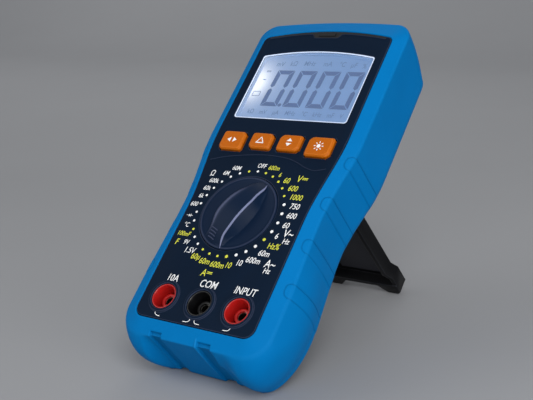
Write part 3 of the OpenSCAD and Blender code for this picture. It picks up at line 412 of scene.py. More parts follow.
def moulded(name, colour, rough, grain, depth, rub_and_highlight, specular=0.5):
    """A moulded polymer: fine grain from the mould, faint clouding, a lighter colour for edge wear and
    painted highlights, and painted shade in the hollows.

    grain is the width of a grain and depth its height, both in millimetres. The lighter colour is that of
    edge wear and of painted highlights. The painted shade is a darker copy of the colour. The clouds are
    about 22 mm wide."""
    material, tree, shader, place = blank(name)
    cloud = add(tree, "ShaderNodeTexNoise",
                {"Vector": place, "Scale": pattern(22.2222), "Detail": 4.0}).outputs[0]
    skin = add(tree, "ShaderNodeTexNoise",
               {"Vector": place, "Scale": pattern(grain), "Detail": 2.0}).outputs[0]
    tone = add(tree, "ShaderNodeMix", {0: cloud, 6: shade(colour, 0.92), 7: shade(colour, 1.08)},
               data_type="RGBA").outputs[2]
    # Painted shade: a darker copy of the colour, laid where shade falls in grooves, hollows and joints
    painted_shade = add(tree, "ShaderNodeAttribute", attribute_name="painted_shade").outputs["Fac"]
    shaded_tone = add(tree, "ShaderNodeMix", {0: painted_shade, 6: tone, 7: shade(colour, 0.35)},
                data_type="RGBA").outputs[2]
    # The lighter colour: edge wear on some pieces and painted highlights on others
    wear_and_highlight = add(tree, "ShaderNodeAttribute", attribute_name="wear_and_highlight").outputs["Fac"]
    patches = add(tree, "ShaderNodeMapRange", {"Value": cloud, "To Min": 0.55, "To Max": 1.0}).outputs[0]
    patchy = add(tree, "ShaderNodeMath", {0: wear_and_highlight, 1: patches}, operation="MULTIPLY").outputs[0]
    rubbed_and_highlit = add(tree, "ShaderNodeMix", {0: patchy, 6: shaded_tone, 7: linear(rub_and_highlight) + (1.0,)},
                 data_type="RGBA").outputs[2]
    gloss = add(tree, "ShaderNodeMapRange", {"Value": skin, "To Min": rough - 0.08, "To Max": rough + 0.08})
    bump = add(tree, "ShaderNodeBump", {"Height": skin, "Strength": 0.6, "Distance": depth * 0.001})
    feed(tree, shader, {"Base Color": rubbed_and_highlit, "Roughness": gloss.outputs[0], "Normal": bump.outputs[0],
                        "Specular IOR Level": specular})
    return material


def metal(name, colour, rough, streak):
    """Plated sheet or turned metal: drawing lines 0.02 mm deep, 6 mm long and streak times as fine across,
    and dull patches of 4.5 mm."""
    material, tree, shader, place = blank(name)
    drawn = add(tree, "ShaderNodeMapping", {"Vector": place, "Scale": (streak, 1.0, 1.0)}).outputs[0]
    lines = add(tree, "ShaderNodeTexNoise",
                {"Vector": drawn, "Scale": pattern(6.25), "Detail": 5.0}).outputs[0]
    patch = add(tree, "ShaderNodeTexNoise",
                {"Vector": place, "Scale": pattern(4.54545), "Detail": 3.0}).outputs[0]
    tone = add(tree, "ShaderNodeMix", {0: patch, 6: shade(colour, 0.8), 7: shade(colour, 1.1)},
               data_type="RGBA").outputs[2]
    gloss = add(tree, "ShaderNodeMapRange", {"Value": lines, "To Min": rough - 0.1, "To Max": rough + 0.12})
    bump = add(tree, "ShaderNodeBump", {"Height": lines, "Strength": 0.3, "Distance": 0.00002})
    feed(tree, shader, {"Base Color": tone, "Roughness": gloss.outputs[0], "Normal": bump.outputs[0],
                        "Metallic": 1.0})
    return material


def clear_acrylic():
    """Polished acrylic: clear, with hair scratches 4 mm long that only the gloss shows."""
    material, tree, shader, place = blank("Clear_cast_acrylic")
    drawn = add(tree, "ShaderNodeMapping", {"Vector": place, "Scale": (1.0, 14.0, 14.0)}).outputs[0]
    hairs = add(tree, "ShaderNodeTexNoise",
                {"Vector": drawn, "Scale": pattern(4.16667), "Detail": 6.0}).outputs[0]
    gloss = add(tree, "ShaderNodeMapRange", {"Value": hairs, "From Min": 0.6, "From Max": 0.8,
                                             "To Min": 0.01, "To Max": 0.06})
    feed(tree, shader, {"Base Color": (0.97, 0.98, 1.0, 1.0), "Roughness": gloss.outputs[0],
                        "Transmission Weight": 1.0, "IOR": 1.49})
    return material


def lit_display(colour):
    """A backlit liquid crystal cell: pale, with faint clouds of 11 mm, and brighter beside the lamp."""
    material, tree, shader, place = blank("Backlit_LCD_cell")
    glow = add(tree, "ShaderNodeAttribute", attribute_name="glow").outputs["Fac"]
    film = add(tree, "ShaderNodeTexNoise",
               {"Vector": place, "Scale": pattern(11.1111), "Detail": 3.0}).outputs[0]
    tone = add(tree, "ShaderNodeMix", {0: film, 6: shade(colour, 0.93), 7: shade(colour, 1.03)},
               data_type="RGBA").outputs[2]
    hot = add(tree, "ShaderNodeMix", {0: glow, 6: tone, 7: (1.0, 1.0, 1.0, 1.0)},
              data_type="RGBA").outputs[2]
    feed(tree, shader, {"Base Color": tone, "Emission Color": hot, "Emission Strength": 1.0,
                        "Roughness": 0.35})
    return material


def ink(name, colour, glow=0.0):
    """Screen-printed ink: matt, with the thin spots of a printed film every 0.4 mm."""
    material, tree, shader, place = blank(name)
    film = add(tree, "ShaderNodeTexNoise",
               {"Vector": place, "Scale": pattern(0.4), "Detail": 2.0}).outputs[0]
    tone = add(tree, "ShaderNodeMix", {0: film, 6: shade(colour, 0.88), 7: shade(colour, 1.06)},
               data_type="RGBA").outputs[2]
    bump = add(tree, "ShaderNodeBump", {"Height": film, "Strength": 0.3, "Distance": 0.00001})
    feed(tree, shader, {"Base Color": tone, "Normal": bump.outputs[0], "Roughness": 0.55})
    if glow:
        feed(tree, shader, {"Emission Color": tone, "Emission Strength": glow})
    return material


def circuit_board():
    """Glass-epoxy board: green solder mask with the weave faintly under it, drawn coarser than the real
    0.5 mm so that it shows."""
    material, tree, shader, place = blank("Green_glass_epoxy_board")
    weave = add(tree, "ShaderNodeTexBrick",
                {"Vector": place, "Scale": pattern(3.33333), "Mortar Size": 0.03,
                 "Color1": (0.02, 0.12, 0.05, 1.0), "Color2": (0.025, 0.15, 0.06, 1.0),
                 "Mortar": (0.03, 0.2, 0.08, 1.0)})
    bump = add(tree, "ShaderNodeBump",
               {"Height": weave.outputs["Fac"], "Strength": 0.3, "Distance": 0.00003})
    feed(tree, shader, {"Base Color": weave.outputs["Color"], "Normal": bump.outputs[0], "Roughness": 0.3})
    return material


def make_finishes():
    """Every material of the object, by the record's slot names and by the prints' own."""
    c = colours()
    faint = tuple(0.4 * a + 0.6 * b for a, b in zip(c.display, c.segment))
    return {
        # Overmoulded rubber: satin blue, its spark grain drawn twice as coarse as the real 0.3 mm; its
        # lighter second colour is painted highlight along the crease and the foot's rib
        "holster": moulded("Blue_overmoulded_rubber", c.holster, 0.58, 0.6, 0.03, "2388C8", 0.04),
        # Textured ABS: dark navy with a dull moulded grain
        "panel": moulded("Navy_textured_ABS", c.panel, 0.55, 0.5, 0.02, "3A4258", 0.04),
        # The selector is the same ABS from a smoother mould, so it takes sharper highlights; its pale second
        # colour paints highlights along the grip's edges and the rim's crest, and lightens the finger ridges
        "knob": moulded("Navy_satin_ABS", c.knob, 0.36, 0.5, 0.006, "868DB0", 0.08),
        # Silicone keys: warm orange, soft sheen, edges bleached by thumbs
        "button": moulded("Orange_moulded_silicone", c.button, 0.45, 0.5, 0.015, "CF7F2E", 0.14),
        # Polyamide sockets: deep colour with a clear gloss
        "red_jack": moulded("Red_polyamide", c.red, 0.32, 0.6, 0.006, "DC5A50"),
        "black_jack": moulded("Black_polyamide", c.black, 0.34, 0.6, 0.006, "3A3A3E"),
        # The rear case's coarse grain keeps it a dull charcoal
        "rear": moulded("Black_textured_ABS", c.rear, 0.50, 0.6, 0.03, "3A3B40", 0.35),
        # The stand comes from a smoother mould: nearly black, with a satin sheen
        "stand": moulded("Black_satin_ABS", c.stand, 0.42, 0.6, 0.012, "26282E", 0.2),
        # The stand's inner panel: a lighter copy of the stand's black with a coarser grain, painted light
        # standing in for what the floor bounces onto it
        "painted_light_web": moulded("Black_ABS_painted_bounce_light", linear("35363C"), 0.6, 0.8, 0.05, "45464C", 0.3),
        # White ABS: clean and slightly warm
        "white_plastic": moulded("White_moulded_ABS", linear("DADAD6"), 0.4, 0.6, 0.01, "E8E8E4"),
        # The light guide is milky acrylic with a cool cast
        "light_guide": moulded("Milky_light_guide", linear("E4EAF0"), 0.3, 0.6, 0.01, "F0F4F8"),
        # Carbon-filled rubber: a matt mid grey
        "strip": moulded("Grey_conductive_rubber", linear("5A5A5E"), 0.6, 0.4, 0.02, "77777B"),
        # Moulded epoxy of chips and switches: a matt black
        "component": moulded("Black_moulded_epoxy", linear("19191B"), 0.5, 0.4, 0.02, "333336"),
        # Dipped epoxy: a rounder, glossier blue coat
        "protector": moulded("Blue_dipped_epoxy", linear("1E4E8C"), 0.35, 0.8, 0.02, "3C6CA6"),
        # Fired ceramic: an even warm white
        "ceramic": moulded("White_fuse_ceramic", linear("E6E2D8"), 0.45, 0.8, 0.02, "F0EEE6"),
        # The battery's printed jacket: dark and smooth
        "battery": moulded("Printed_steel_jacket", linear("2C3038"), 0.35, 1.2, 0.01, "8A8E96"),
        # Tinted cover of the light sensor: nearly black, with a green cast
        "lens": moulded("Smoke_tinted_polycarbonate", linear("15181A"), 0.20, 0.8, 0.004, "2E3230"),
        # Drawn metals: yellow, warm grey and cold grey, with streaks along the drawing
        "brass": metal("Drawn_brass", linear("C9A95C"), 0.3, 9.0),
        "nickel": metal("Nickel_plated_brass", linear("8C8A84"), 0.28, 4.0),
        "steel": metal("Zinc_plated_steel", linear("B9BCC0"), 0.32, 9.0),
        "board": circuit_board(),
        "window": clear_acrylic(),
        "lcd": lit_display(c.display),
        # A pale glowing ring, painted as the highlight on the window's polished edge
        "edge": ink("Acrylic_edge_painted_highlight", linear("C6D3EA"), 0.35),
        # Dark segments let little of the light behind them through, and faint ones more
        "segment": ink("Dark_LCD_segments", c.segment, 1.0),
        "ghost": ink("Faint_LCD_segments", faint, 1.0),
        "white": ink("White_screen_print", c.white),
        "yellow": ink("Yellow_screen_print", c.yellow),
        # Black ink, used only for the painted shadow along the panel's top
        "black": ink("Black_painted_shadow", linear("050608")),
    }


finishes = {}


def ease(t):
    """A smooth step from 0 to 1."""
    t = min(max(t, 0.0), 1.0)
    return t * t * (3.0 - 2.0 * t)


def half_at(v, half):
    """Half the width of a waisted outline at a height."""
    top, waist, hip, up = half
    return (waist + (top - waist) * ease((v - up) / (SHOULDER - up))
            + (hip - waist) * ease((up - v) / (HIP + up)))


def grown(half, d, waist=0.0, hip=0.0):
    """The half widths grown by d, with more at the waist and the hip."""
    return (half[0] + d, half[1] + d + waist, half[2] + d + hip, half[3])


def even(a, b, n):
    """n numbers inside the span from a to b."""
    return [a + (b - a) * (i + 1) / (n + 1) for i in range(n)]


# Heights and places across at which an outline has points, close together where a pad, groove or rib has
# an edge
PAD_EDGE = (0.0, 0.35, 0.7, 1.05, 1.4, 1.75, 2.05, 2.35, 2.6, 2.8, 2.95, 3.1, 3.25, 3.4, 3.6)
PAD_ROWS = sorted({round(c + s * d, 3) for c in PAD_V for s in (-1, 1) for d in PAD_EDGE}
                  | {round(v, 3) for a, b in zip(PAD_V[1:], PAD_V)
                     for v in even(a + PAD_EDGE[-1], b - PAD_EDGE[-1], 7)})
GROOVE_EDGE = (-0.7, -0.4, -0.2, -0.07, 0.07, 0.2, 0.4, 0.7)
RIB_EDGE = (-0.9, -0.65, -0.45, -0.3, -0.15, 0.0, 0.15, 0.3)
# Spans between those edges: from, to and how many points
FOOT_SPANS = ((GROOVES[0][0] + 0.7, GROOVES[0][1] - 0.7, 4), (GROOVES[1][0] + 0.7, GROOVES[1][1] - 0.7, 4),
              (GROOVES[0][1] + 0.7, GROOVES[1][0] - 0.7, 16), (-26.2, GROOVES[0][0] - 0.7, 9),
              (GROOVES[1][1] + 0.7, 25.9, 26))
FOOT_COLUMNS = sorted({round(e + d, 3) for pair in GROOVES for e in pair for d in GROOVE_EDGE}
                      | {round(RIB_U + d, 3) for d in RIB_EDGE}
                      | {round(u, 3) for span in FOOT_SPANS for u in even(*span)})


def outline(half, v0, v1, r0, r1, arch, tall=1.0):
    """One closed line round the body, always with the same number of points in the same order.

    It starts where the bottom meets its right-hand corner and goes up, over the top, down and back along
    the bottom.
    tall stretches the rounding of the bottom corners upwards."""
    high = r0 * tall
    side = [(half_at(v0 + high, half) - r0 + r0 * math.cos(a), v0 + high + high * math.sin(a))
            for a in (math.radians(-90 + 6 * i) for i in range(16))]
    rows = (even(v0 + high, PAD_ROWS[0], 10) + PAD_ROWS + even(PAD_ROWS[-1], v1 - r1, 36))
    side += [(half_at(v, half), v) for v in rows]
    side += [(half_at(v1 - r1, half) - r1 + r1 * math.cos(a), v1 - r1 + r1 * math.sin(a))
             for a in (math.radians(9 * i) for i in range(11))]
    reach = side[-1][0]
    top = [(u, v1 + arch * (1.0 - (u / reach) ** 2)) for u in even(reach, -reach, 41)]
    end = half_at(v0 + high, half) - r0
    share = min(1.0, (end - 0.02) / FOOT_REACH)
    columns = [share * u for u in FOOT_COLUMNS]
    columns += even(columns[-1], end, 5)
    return side + top + [(-u, v) for u, v in reversed(side)] + [(u, v0) for u in columns]


def panel_line(d):
    """The panel's outline, grown by d."""
    low, high = PANEL_CORNERS
    return outline(grown(PANEL_HALF, d), PANEL_BOTTOM - d, PANEL_TOP + d, low + d, high + d, PANEL_ARCH)


def case_line(top, d):
    """The cases' outline up to a top, grown by d."""
    low, high = CASE_CORNERS
    return outline(grown(PANEL_HALF, CASE_PROUD + d), CASE_BOTTOM - d, top + d, low + d, high + d, 0.0)


def opening_line(d):
    """The opening at the holster's back, grown by d."""
    low, high = OPENING_SPAN
    return outline(grown(OPENING_HALF, d), low - d, high + d, OPENING_CORNER, OPENING_CORNER, 0.0)


def lobe(k):
    """How far, from 0 to 1, the foot's two lobes bulge at a share k of the depth."""
    if k < LOBE_CREST:
        return 1.0 - (1.0 - k / LOBE_CREST) ** 2.2
    return 1.0 - (1.0 - LOBE_END) * ((k - LOBE_CREST) / (1.0 - LOBE_CREST)) ** 1.8


def wall_line(k):
    """The holster's side at a share k of its depth, from the crease to the back's rounding."""
    swell = math.sin(math.pi * k)
    soft = ease(k / FOOT_SOFT)
    front, back = TOP_CORNERS
    return outline(grown(CREASE_HALF, -WALL_DRAFT * k, -WAIST_DRAFT * k, HIP_SWELL * swell),
                   CREASE_BOTTOM - FOOT_SLOPE * k - LOBE * lobe(k),
                   CREASE_TOP - TOP_SLOPE * k + TOP_SWELL * swell,
                   FOOT_CORNER + soft, front + (back - front) * k, RIM_ARCH, 1.0 + soft)


def back_line(a):
    """The holster's back edge at an angle a of its rounding."""
    inset = BACK_INSET * (1.0 - math.cos(a))
    return outline(grown(CREASE_HALF, -WALL_DRAFT - inset, -WAIST_DRAFT, 0.0),
                   CREASE_BOTTOM - FOOT_SLOPE - LOBE * LOBE_END * math.cos(a) + inset,
                   CREASE_TOP - TOP_SLOPE - inset, FOOT_CORNER + 1.0, TOP_CORNERS[1], RIM_ARCH, 2.0)


def at(line, w):
    """The line's points at a height w out of the panel."""
    return [Vector((u, v, w)) for u, v in line]


def pad_form(v, inside):
    """How far a pad lifts the skin and how deep its outline is cut, at a height v.

    inside is the distance from the crease towards the panel, and negative down the wall."""
    across = min(abs(v - c) for c in PAD_V)
    dx = PAD_ROUND - (PAD_REACH - inside)
    dy = across - (PAD_H / 2 - PAD_ROUND)
    away = (math.hypot(dx, dy) if dx > 0 and dy > 0 else max(dx, dy)) - PAD_ROUND
    return ease(0.5 - away / 0.4), math.exp(-((away - 0.05) / 0.24) ** 2)


def groove_form(u, inside):
    """How deep, from 0 to 1, the two grooves at the foot are cut."""
    away = max(min(max(a - u, u - b) for a, b in GROOVES), inside - GROOVE_REACH)
    return ease(0.5 - away / 0.5)


def dress(ring, crease, away, out, up, fade=1.0, base=CREASE_BOTTOM):
    """Give a line of the skin its pads, lobes and grooves; each point comes with its share of painted
    highlight and of painted shade.

    base is where the foot's wall stands between its two lobes."""
    (l0, l1), (r0, r1) = LOBE_FLANKS
    shelf_u, shelf, shelf_w = SHELF
    line = []
    for p, c, inside in zip(ring, crease, away):
        u, v, w = p
        rub_and_highlight = painted_shade = 0.0
        if c.y < PANEL_BOTTOM and abs(c.x) < SIDE_U:
            step = shelf * ease((u - shelf_u - max(shelf_w - w, 0.0) * 1.3) / 1.4)
            inner = ease((u - l0) / (l1 - l0)) * ease((r1 - u) / (r1 - r0)) * (1.0 - step)
            v += max(base - v, 0.0) * inner
            # The hollow's floor, which gets only painted shade
            under = inner * ease(-inside / 0.6)
            cut = groove_form(u, inside) * fade
            ends = ease(0.5 - (inside - RIB_REACH) / 0.8) * ease((w - RIB_END) / 8.0)
            rib = math.exp(-((u - RIB_U) / RIB_W) ** 2) * ends
            depth = cut * size("groove") - rib * size("rib")
            v += depth * out
            w -= depth * up
            # Painted highlight: the thin rib's crest is painted lighter
            rub_and_highlight = 0.5 * rib
            # Painted shade: the grooves and the hollow's floor are darkened where shade falls
            painted_shade = max(0.3 * cut, 0.12 * under) * (1.0 - rib)
        elif abs(c.x) > SIDE_U and PAD_SPAN[0] < v < PAD_SPAN[1]:
            lift, line_cut = pad_form(v, inside)
            rise = (lift * size("pad_raise") - line_cut * size("pad_line")) * fade
            u += math.copysign(rise * out, u)
            w += rise * up
            # Painted shade: the line cut round each pad is darkened
            painted_shade = 0.45 * line_cut * fade
        line.append((Vector((u, v, w)), rub_and_highlight, painted_shade))
    return line


def plain(ring):
    """The points of a line with neither edge wear, painted highlight nor painted shade."""
    return [(p, 0.0, 0.0) for p in ring]


def skin_rings():
    """The lines of the holster from the panel's edge out, down the wall, round the back and in again."""
    reach = size("crease")
    out, up = BEVEL_OUT
    rim = at(panel_line(0.75), 0.0)
    crease = at(wall_line(0.0), -RIM_DROP)
    soft = [reach / (a - b).length for a, b in zip(rim, crease)]
    rings = [plain(at(panel_line(d), w)) for d, w in ((SEAM, -1.6), (SEAM, -0.35), (0.40, -0.08))]
    for i in range(21):
        t = i / 20
        ring = [a.lerp(b, t * (1.0 - s)) for a, b, s in zip(rim, crease, soft)]
        rings.append(dress(ring, crease, [(p - c).length for p, c in zip(ring, crease)], out, up))
    start = [a.lerp(b, 1.0 - s) for a, b, s in zip(rim, crease, soft)]
    k_soft = reach / (abs(WALL_Z) - RIM_DROP)
    below = at(wall_line(k_soft), -RIM_DROP - reach)
    for i in range(1, 8):
        t = i / 8
        ring = [a * (1 - t) ** 2 + b * 2 * t * (1 - t) + c * t * t for a, b, c in zip(start, crease, below)]
        line = dress(ring, crease, [reach * (1.0 - 2.0 * t)] * len(ring),
                     out + (1.0 - out) * t, up * (1.0 - t))
        # Painted highlight: a faint lighter line along the crease
        rings.append([(p, max(rub_and_highlight, 0.12 * math.sin(math.pi * t)), painted_shade) for p, rub_and_highlight, painted_shade in line])
    for w in [-RIM_DROP - reach] + even(-RIM_DROP - reach, WALL_Z, 28) + [WALL_Z]:
        k = (w + RIM_DROP) / (WALL_Z + RIM_DROP)
        ring = at(wall_line(k), w)
        base = CREASE_BOTTOM - FOOT_SLOPE * k
        rings.append(dress(ring, crease, [w + RIM_DROP] * len(ring), 1.0, 0.0, 1.0, base))
    for i in range(1, 10):
        a = math.radians(10 * i)
        ring = at(back_line(a), WALL_Z - (WALL_Z - BACK_Z) * math.sin(a))
        base = CREASE_BOTTOM - FOOT_SLOPE + BACK_INSET * (1.0 - math.cos(a))
        deep = [PAST_RELIEF] * len(ring)
        rings.append(dress(ring, crease, deep, math.cos(a), -math.sin(a), math.cos(a), base))
    rear, front = case_line(REAR_TOP, FIT), case_line(PANEL_TOP, FIT)
    inner = ((opening_line(0.5), BACK_Z), (opening_line(0.15), BACK_Z + 0.15),
             (opening_line(0.0), BACK_Z + 0.5), (opening_line(0.0), CASE_Z - FIT),
             (rear, CASE_Z - FIT), (rear, PARTING_Z - 2 * FIT), (front, PARTING_Z - FIT),
             (front, -PANEL_T + FIT), (panel_line(SEAM), -PANEL_T + 2 * FIT))
    rings += [plain(at(line, w)) for line, w in inner]
    return rings


def verts_of(geom):
    """The vertices among what an operator made."""
    return [g for g in geom if isinstance(g, bmesh.types.BMVert)]


def extruded(bm, verts, edges, line):
    """Extrude a row of edges to the next line of points; gives the new row."""
    made = bmesh.ops.extrude_edge_only(bm, edges=edges)["geom"]
    new = set(verts_of(made))
    verts = [next(o for o in (e.other_vert(v) for e in v.link_edges) if o in new) for v in verts]
    for v, p in zip(verts, line):
        v.co = p
    return verts, [e for e in made if isinstance(e, bmesh.types.BMEdge) and new.issuperset(e.verts)]


def swept(bm, lines, around=True, closed=False):
    """Skin a row of lines, each of points with their share of edge wear and painted highlight, and of painted
    shade.

    around joins each line's ends, and closed joins the last line to the first."""
    layers = [bm.verts.layers.float.get(n) or bm.verts.layers.float.new(n) for n in ("wear_and_highlight", "painted_shade")]
    verts = [bm.verts.new(p) for p, _, _ in lines[0]]
    edges = [bm.edges.new(pair) for pair in zip(verts, verts[1:] + (verts[:1] if around else []))]
    first = edges
    for i, line in enumerate(lines):
        if i:
            verts, edges = extruded(bm, verts, edges, [p for p, _, _ in line])
        for v, (_, rub_and_highlight, painted_shade) in zip(verts, line):
            v[layers[0]], v[layers[1]] = rub_and_highlight, painted_shade
    if closed:
        bmesh.ops.bridge_loops(bm, edges=first + edges)


def finish_piece(bm, name, body, finish, nodes=(), angle=35.0, place=None):
    """Make the mesh an object in the world's place, riding on its body.

    It replaces the CAD nodes. Faces that meet at less than angle are shaded as one, and with no angle every
    face is flat. place is its own frame if that isn't the face's."""
    bmesh.ops.recalc_face_normals(bm, faces=bm.faces)
    if bm.calc_volume(signed=True) < 0.0:
        bmesh.ops.reverse_faces(bm, faces=bm.faces)
    bm.transform(FACE if place is None else place)
    mesh = bpy.data.meshes.new(name)
    bm.to_mesh(mesh)
    bm.free()
    if angle:
        mesh.shade_smooth()
        mesh.set_sharp_from_angle(angle=math.radians(angle))
    else:
        mesh.shade_flat()
    mesh.materials.append(finishes[finish])
    piece = bpy.data.objects.new(name, mesh)
    bpy.context.scene.collection.objects.link(piece)
    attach(piece, body)
    if nodes:
        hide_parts(*nodes)
    return piece


def node_copy(node):
    """A CAD node's mesh in the face's frame, its loose triangles joined and its flat faces made whole."""
    bm = bmesh.new()
    bm.from_mesh(frame["nodes"][node].data)
    bm.transform(FACE.inverted())
    bmesh.ops.remove_doubles(bm, verts=bm.verts, dist=0.002)
    bmesh.ops.dissolve_limit(bm, angle_limit=math.radians(1.0), verts=bm.verts, edges=bm.edges)
    bmesh.ops.recalc_face_normals(bm, faces=bm.faces)
    return bm


def soften(bm, edges, width, segments=3):
    """Round the edges and mark the rounding as what wear reaches first."""
    made = bmesh.ops.bevel(bm, geom=list(edges), offset=width, offset_type="OFFSET", segments=segments,
                           profile=0.5, affect="EDGES", clamp_overlap=True, material=-1)
    wear_and_highlight = bm.loops.layers.float.get("wear_and_highlight") or bm.loops.layers.float.new("wear_and_highlight")
    for face in made["faces"]:
        for loop in face.loops:
            loop[wear_and_highlight] = 0.7


def sharp_edges(bm, angle):
    """The edges whose two faces meet at more than an angle."""
    return [e for e in bm.edges if len(e.link_faces) == 2 and e.calc_face_angle(0.0) > math.radians(angle)]


def lathe(bm, profile, steps, closed):
    """Turn a profile of radius and height about the w axis; closed joins its ends."""
    verts = [bm.verts.new((r, 0.0, w)) for r, w in profile]
    pairs = list(zip(verts, verts[1:])) + ([(verts[-1], verts[0])] if closed else [])
    edges = [bm.edges.new(p) for p in pairs]
    bmesh.ops.spin(bm, geom=verts + edges, cent=(0.0, 0.0, 0.0), axis=(0.0, 0.0, 1.0), dvec=(0.0, 0.0, 0.0),
                   angle=math.tau, steps=steps, use_merge=True)
    bmesh.ops.remove_doubles(bm, verts=bm.verts, dist=0.0005)


def build_holster():
    """The holster's skin, pressed flat where it meets the table."""
    bm = bmesh.new()
    swept(bm, skin_rings(), closed=True)
    piece = finish_piece(bm, "holster_skin", "meter", "holster", ("holster",), 60.0)
    for v in piece.data.vertices:
        v.co.z = max(v.co.z, 0.0)
    return piece


def close(bm):
    """Close every open edge with a flat face."""
    bmesh.ops.holes_fill(bm, edges=[e for e in bm.edges if e.is_boundary], sides=0)


def ridge(bm, line, width, height, rub_and_highlight=0.5):
    """A low rounded ridge along a line of points on a surface that faces out."""
    line = [Vector(p).to_3d() for p in line]
    rows = []
    for i, p in enumerate(line):
        way = (line[min(i + 1, len(line) - 1)] - line[max(i - 1, 0)]).normalized()
        side = Vector((-way.y, way.x, 0.0)).normalized()
        rows.append([(p + side * x * width + Vector((0.0, 0.0, z * height)), rub_and_highlight * max(z, 0.0), 0.0)
                     for x, z in RIDGE_CUT])
    swept(bm, rows)
    close(bm)


def smooth_line(points, n):
    """n points on a smooth curve through the given ones."""
    spots = [Vector(p) for p in points]
    spots = [spots[0] * 2 - spots[1]] + spots + [spots[-1] * 2 - spots[-2]]
    line = []
    for i in range(n):
        x = i / (n - 1) * (len(spots) - 3)
        k = min(int(x), len(spots) - 4)
        t = x - k
        a, b, c, d = spots[k:k + 4]
        line.append(0.5 * (2 * b + (c - a) * t + (2 * a - 5 * b + 4 * c - d) * t ** 2
                           + (3 * b - a - 3 * c + d) * t ** 3))
    return line


def panel_head(u):
    """The height of the panel's arched top edge."""
    return PANEL_TOP + PANEL_ARCH * (1.0 - (u / PANEL_ARCH_REACH) ** 2)


def build_panel():
    """The front case with softened edges, the moulded lines on its face, and a black band painted as the
    shadow under the holster's top rim.
    """
    bm = node_copy("front_case")
    top = [e for e in sharp_edges(bm, 60.0)
           if all(min(abs(v.co.z), abs(v.co.z - PANEL_STEP)) < 0.01 for v in e.verts)]
    soften(bm, top, size("edge"), 2)
    finish_piece(bm, "panel_moulding", "meter", "panel", ("front_case",), 30.0)

    bm = bmesh.new()
    ridge(bm, smooth_line(STEP_LINE, 80), size("ridge_w"), size("ridge_h"))
    edge = [(u, panel_head(u) - EDGE_INSET) for u in even(*EDGE_SPAN, 16)]
    left = edge + [(TAB_START, edge[-1][1] - 0.1), *TAB_LINE]
    right = [(-u, v) for u, v in reversed(left)]
    line = left + even_between(left[-1], right[0], 6) + right
    ridge(bm, line, size("ridge_w"), size("ridge_h"))
    finish_piece(bm, "panel_lines", "meter", "panel", (), 40.0)

    # Painted shadow: a black band along the panel's top edge stands in for the shade under the holster's rim
    bm = bmesh.new()
    lift = size("ink")
    rim = [(u, panel_head(u) - SHADOW_BAND_INSET) for u, _ in line]
    swept(bm, [plain([Vector((u, v, lift)) for u, v in row]) for row in (line, rim)], around=False)
    flat_piece(bm, "panel_top_painted_shadow", "meter", "black")


def even_between(a, b, n):
    """n points inside the line from a to b."""
    return list(zip(even(a[0], b[0], n), even(a[1], b[1], n)))


def window_line(d):
    """The window's outline: square at the foot, arched at the head, grown by d."""
    half, low, high, r = WINDOW_HALF + d, WINDOW_SPAN[0] - d, WINDOW_SPAN[1] + d, WINDOW_CORNER
    reach = half - r
    side = [(reach + r * math.cos(a), v + r * math.sin(a)) for start, v in ((-90, low + r), (0, high - r))
            for a in (math.radians(start + 15 * i) for i in range(7))]
    top = [(u, high + WINDOW_ARCH * (1.0 - (u / reach) ** 2)) for u in even(reach, -reach, 31)]
    return side + top + [(-u, v) for u, v in reversed(side)]


def lamp_glow(bm):
    """Mark how much each point of the lit parts catches of the lamps at the left edge."""
    glow = bm.verts.layers.float.new("glow")
    for v in bm.verts:
        total = 0.0
        for (u0, v0), (wide, tall), strength in GLOW:
            away = math.hypot((v.co.x - u0) / wide, (v.co.y - v0) / tall)
            total += strength * math.exp(-away * away)
        v[glow] = min(1.0, total)


def build_display():
    """The clear window, the lit cell under it, its lit gasket, the painted highlight round the window's edge
    and the segments.
    """
    bm = node_copy("display_window")
    finish_piece(bm, "window_plate", "meter", "window", ("display_window",), 30.0)

    bm = node_copy("lcd_glass")
    front = max(v.co.z for v in bm.verts)
    edges = [e for e in bm.edges if all(abs(v.co.z - front) < 0.01 for v in e.verts)]
    bmesh.ops.subdivide_edges(bm, edges=edges, cuts=24, use_grid_fill=True)
    lamp_glow(bm)
    finish_piece(bm, "lit_cell", "meter", "lcd", ("lcd_glass",), 30.0)

    bm = bmesh.new()
    low, high = FILM_SPAN
    columns = [[Vector((u, v, FILM_Z))
                for v in even(low, high + WINDOW_ARCH * (1.0 - (u / FILM_ARCH_REACH) ** 2), 24)]
               for u in even(-FILM_HALF, FILM_HALF, 48)]
    swept(bm, [plain(column) for column in columns], around=False)
    thicken(bm, FILM_T)
    lamp_glow(bm)
    finish_piece(bm, "display_polariser", "meter", "lcd", (), 30.0)

    bm = bmesh.new()
    swept(bm, [plain(at(window_line(d), w)) for d, w in GASKET], closed=True)
    lamp_glow(bm)
    finish_piece(bm, "display_gasket", "meter", "lcd", (), 30.0)

    # Painted highlight: a pale glowing ring round the window's edge
    bm = bmesh.new()
    swept(bm, [plain(at(window_line(d), w)) for d, w in WINDOW_RIM], closed=True)
    finish_piece(bm, "window_edge_painted_highlight", "meter", "edge", (), 30.0)

    bm = bmesh.new()
    lift = FILM_Z + size("ink")
    for i in range(DIGITS):
        nought(bm, DIGIT_START[0] + DIGIT_STEP * i, lift)
    disc(bm, *POINT, lift, 20)
    flat_piece(bm, "display_digits", "meter", "segment")

    bm = bmesh.new()
    for text, u, v, cap in DISPLAY_SIGNS:
        letters(bm, text, cap, u, v, lift, slant=DIGIT_SLANT)
    for pair in zip(CELL_SIGN, CELL_SIGN[1:]):
        stroke(bm, pair, 0.3, lift)
    flat_piece(bm, "display_signs", "meter", "ghost")


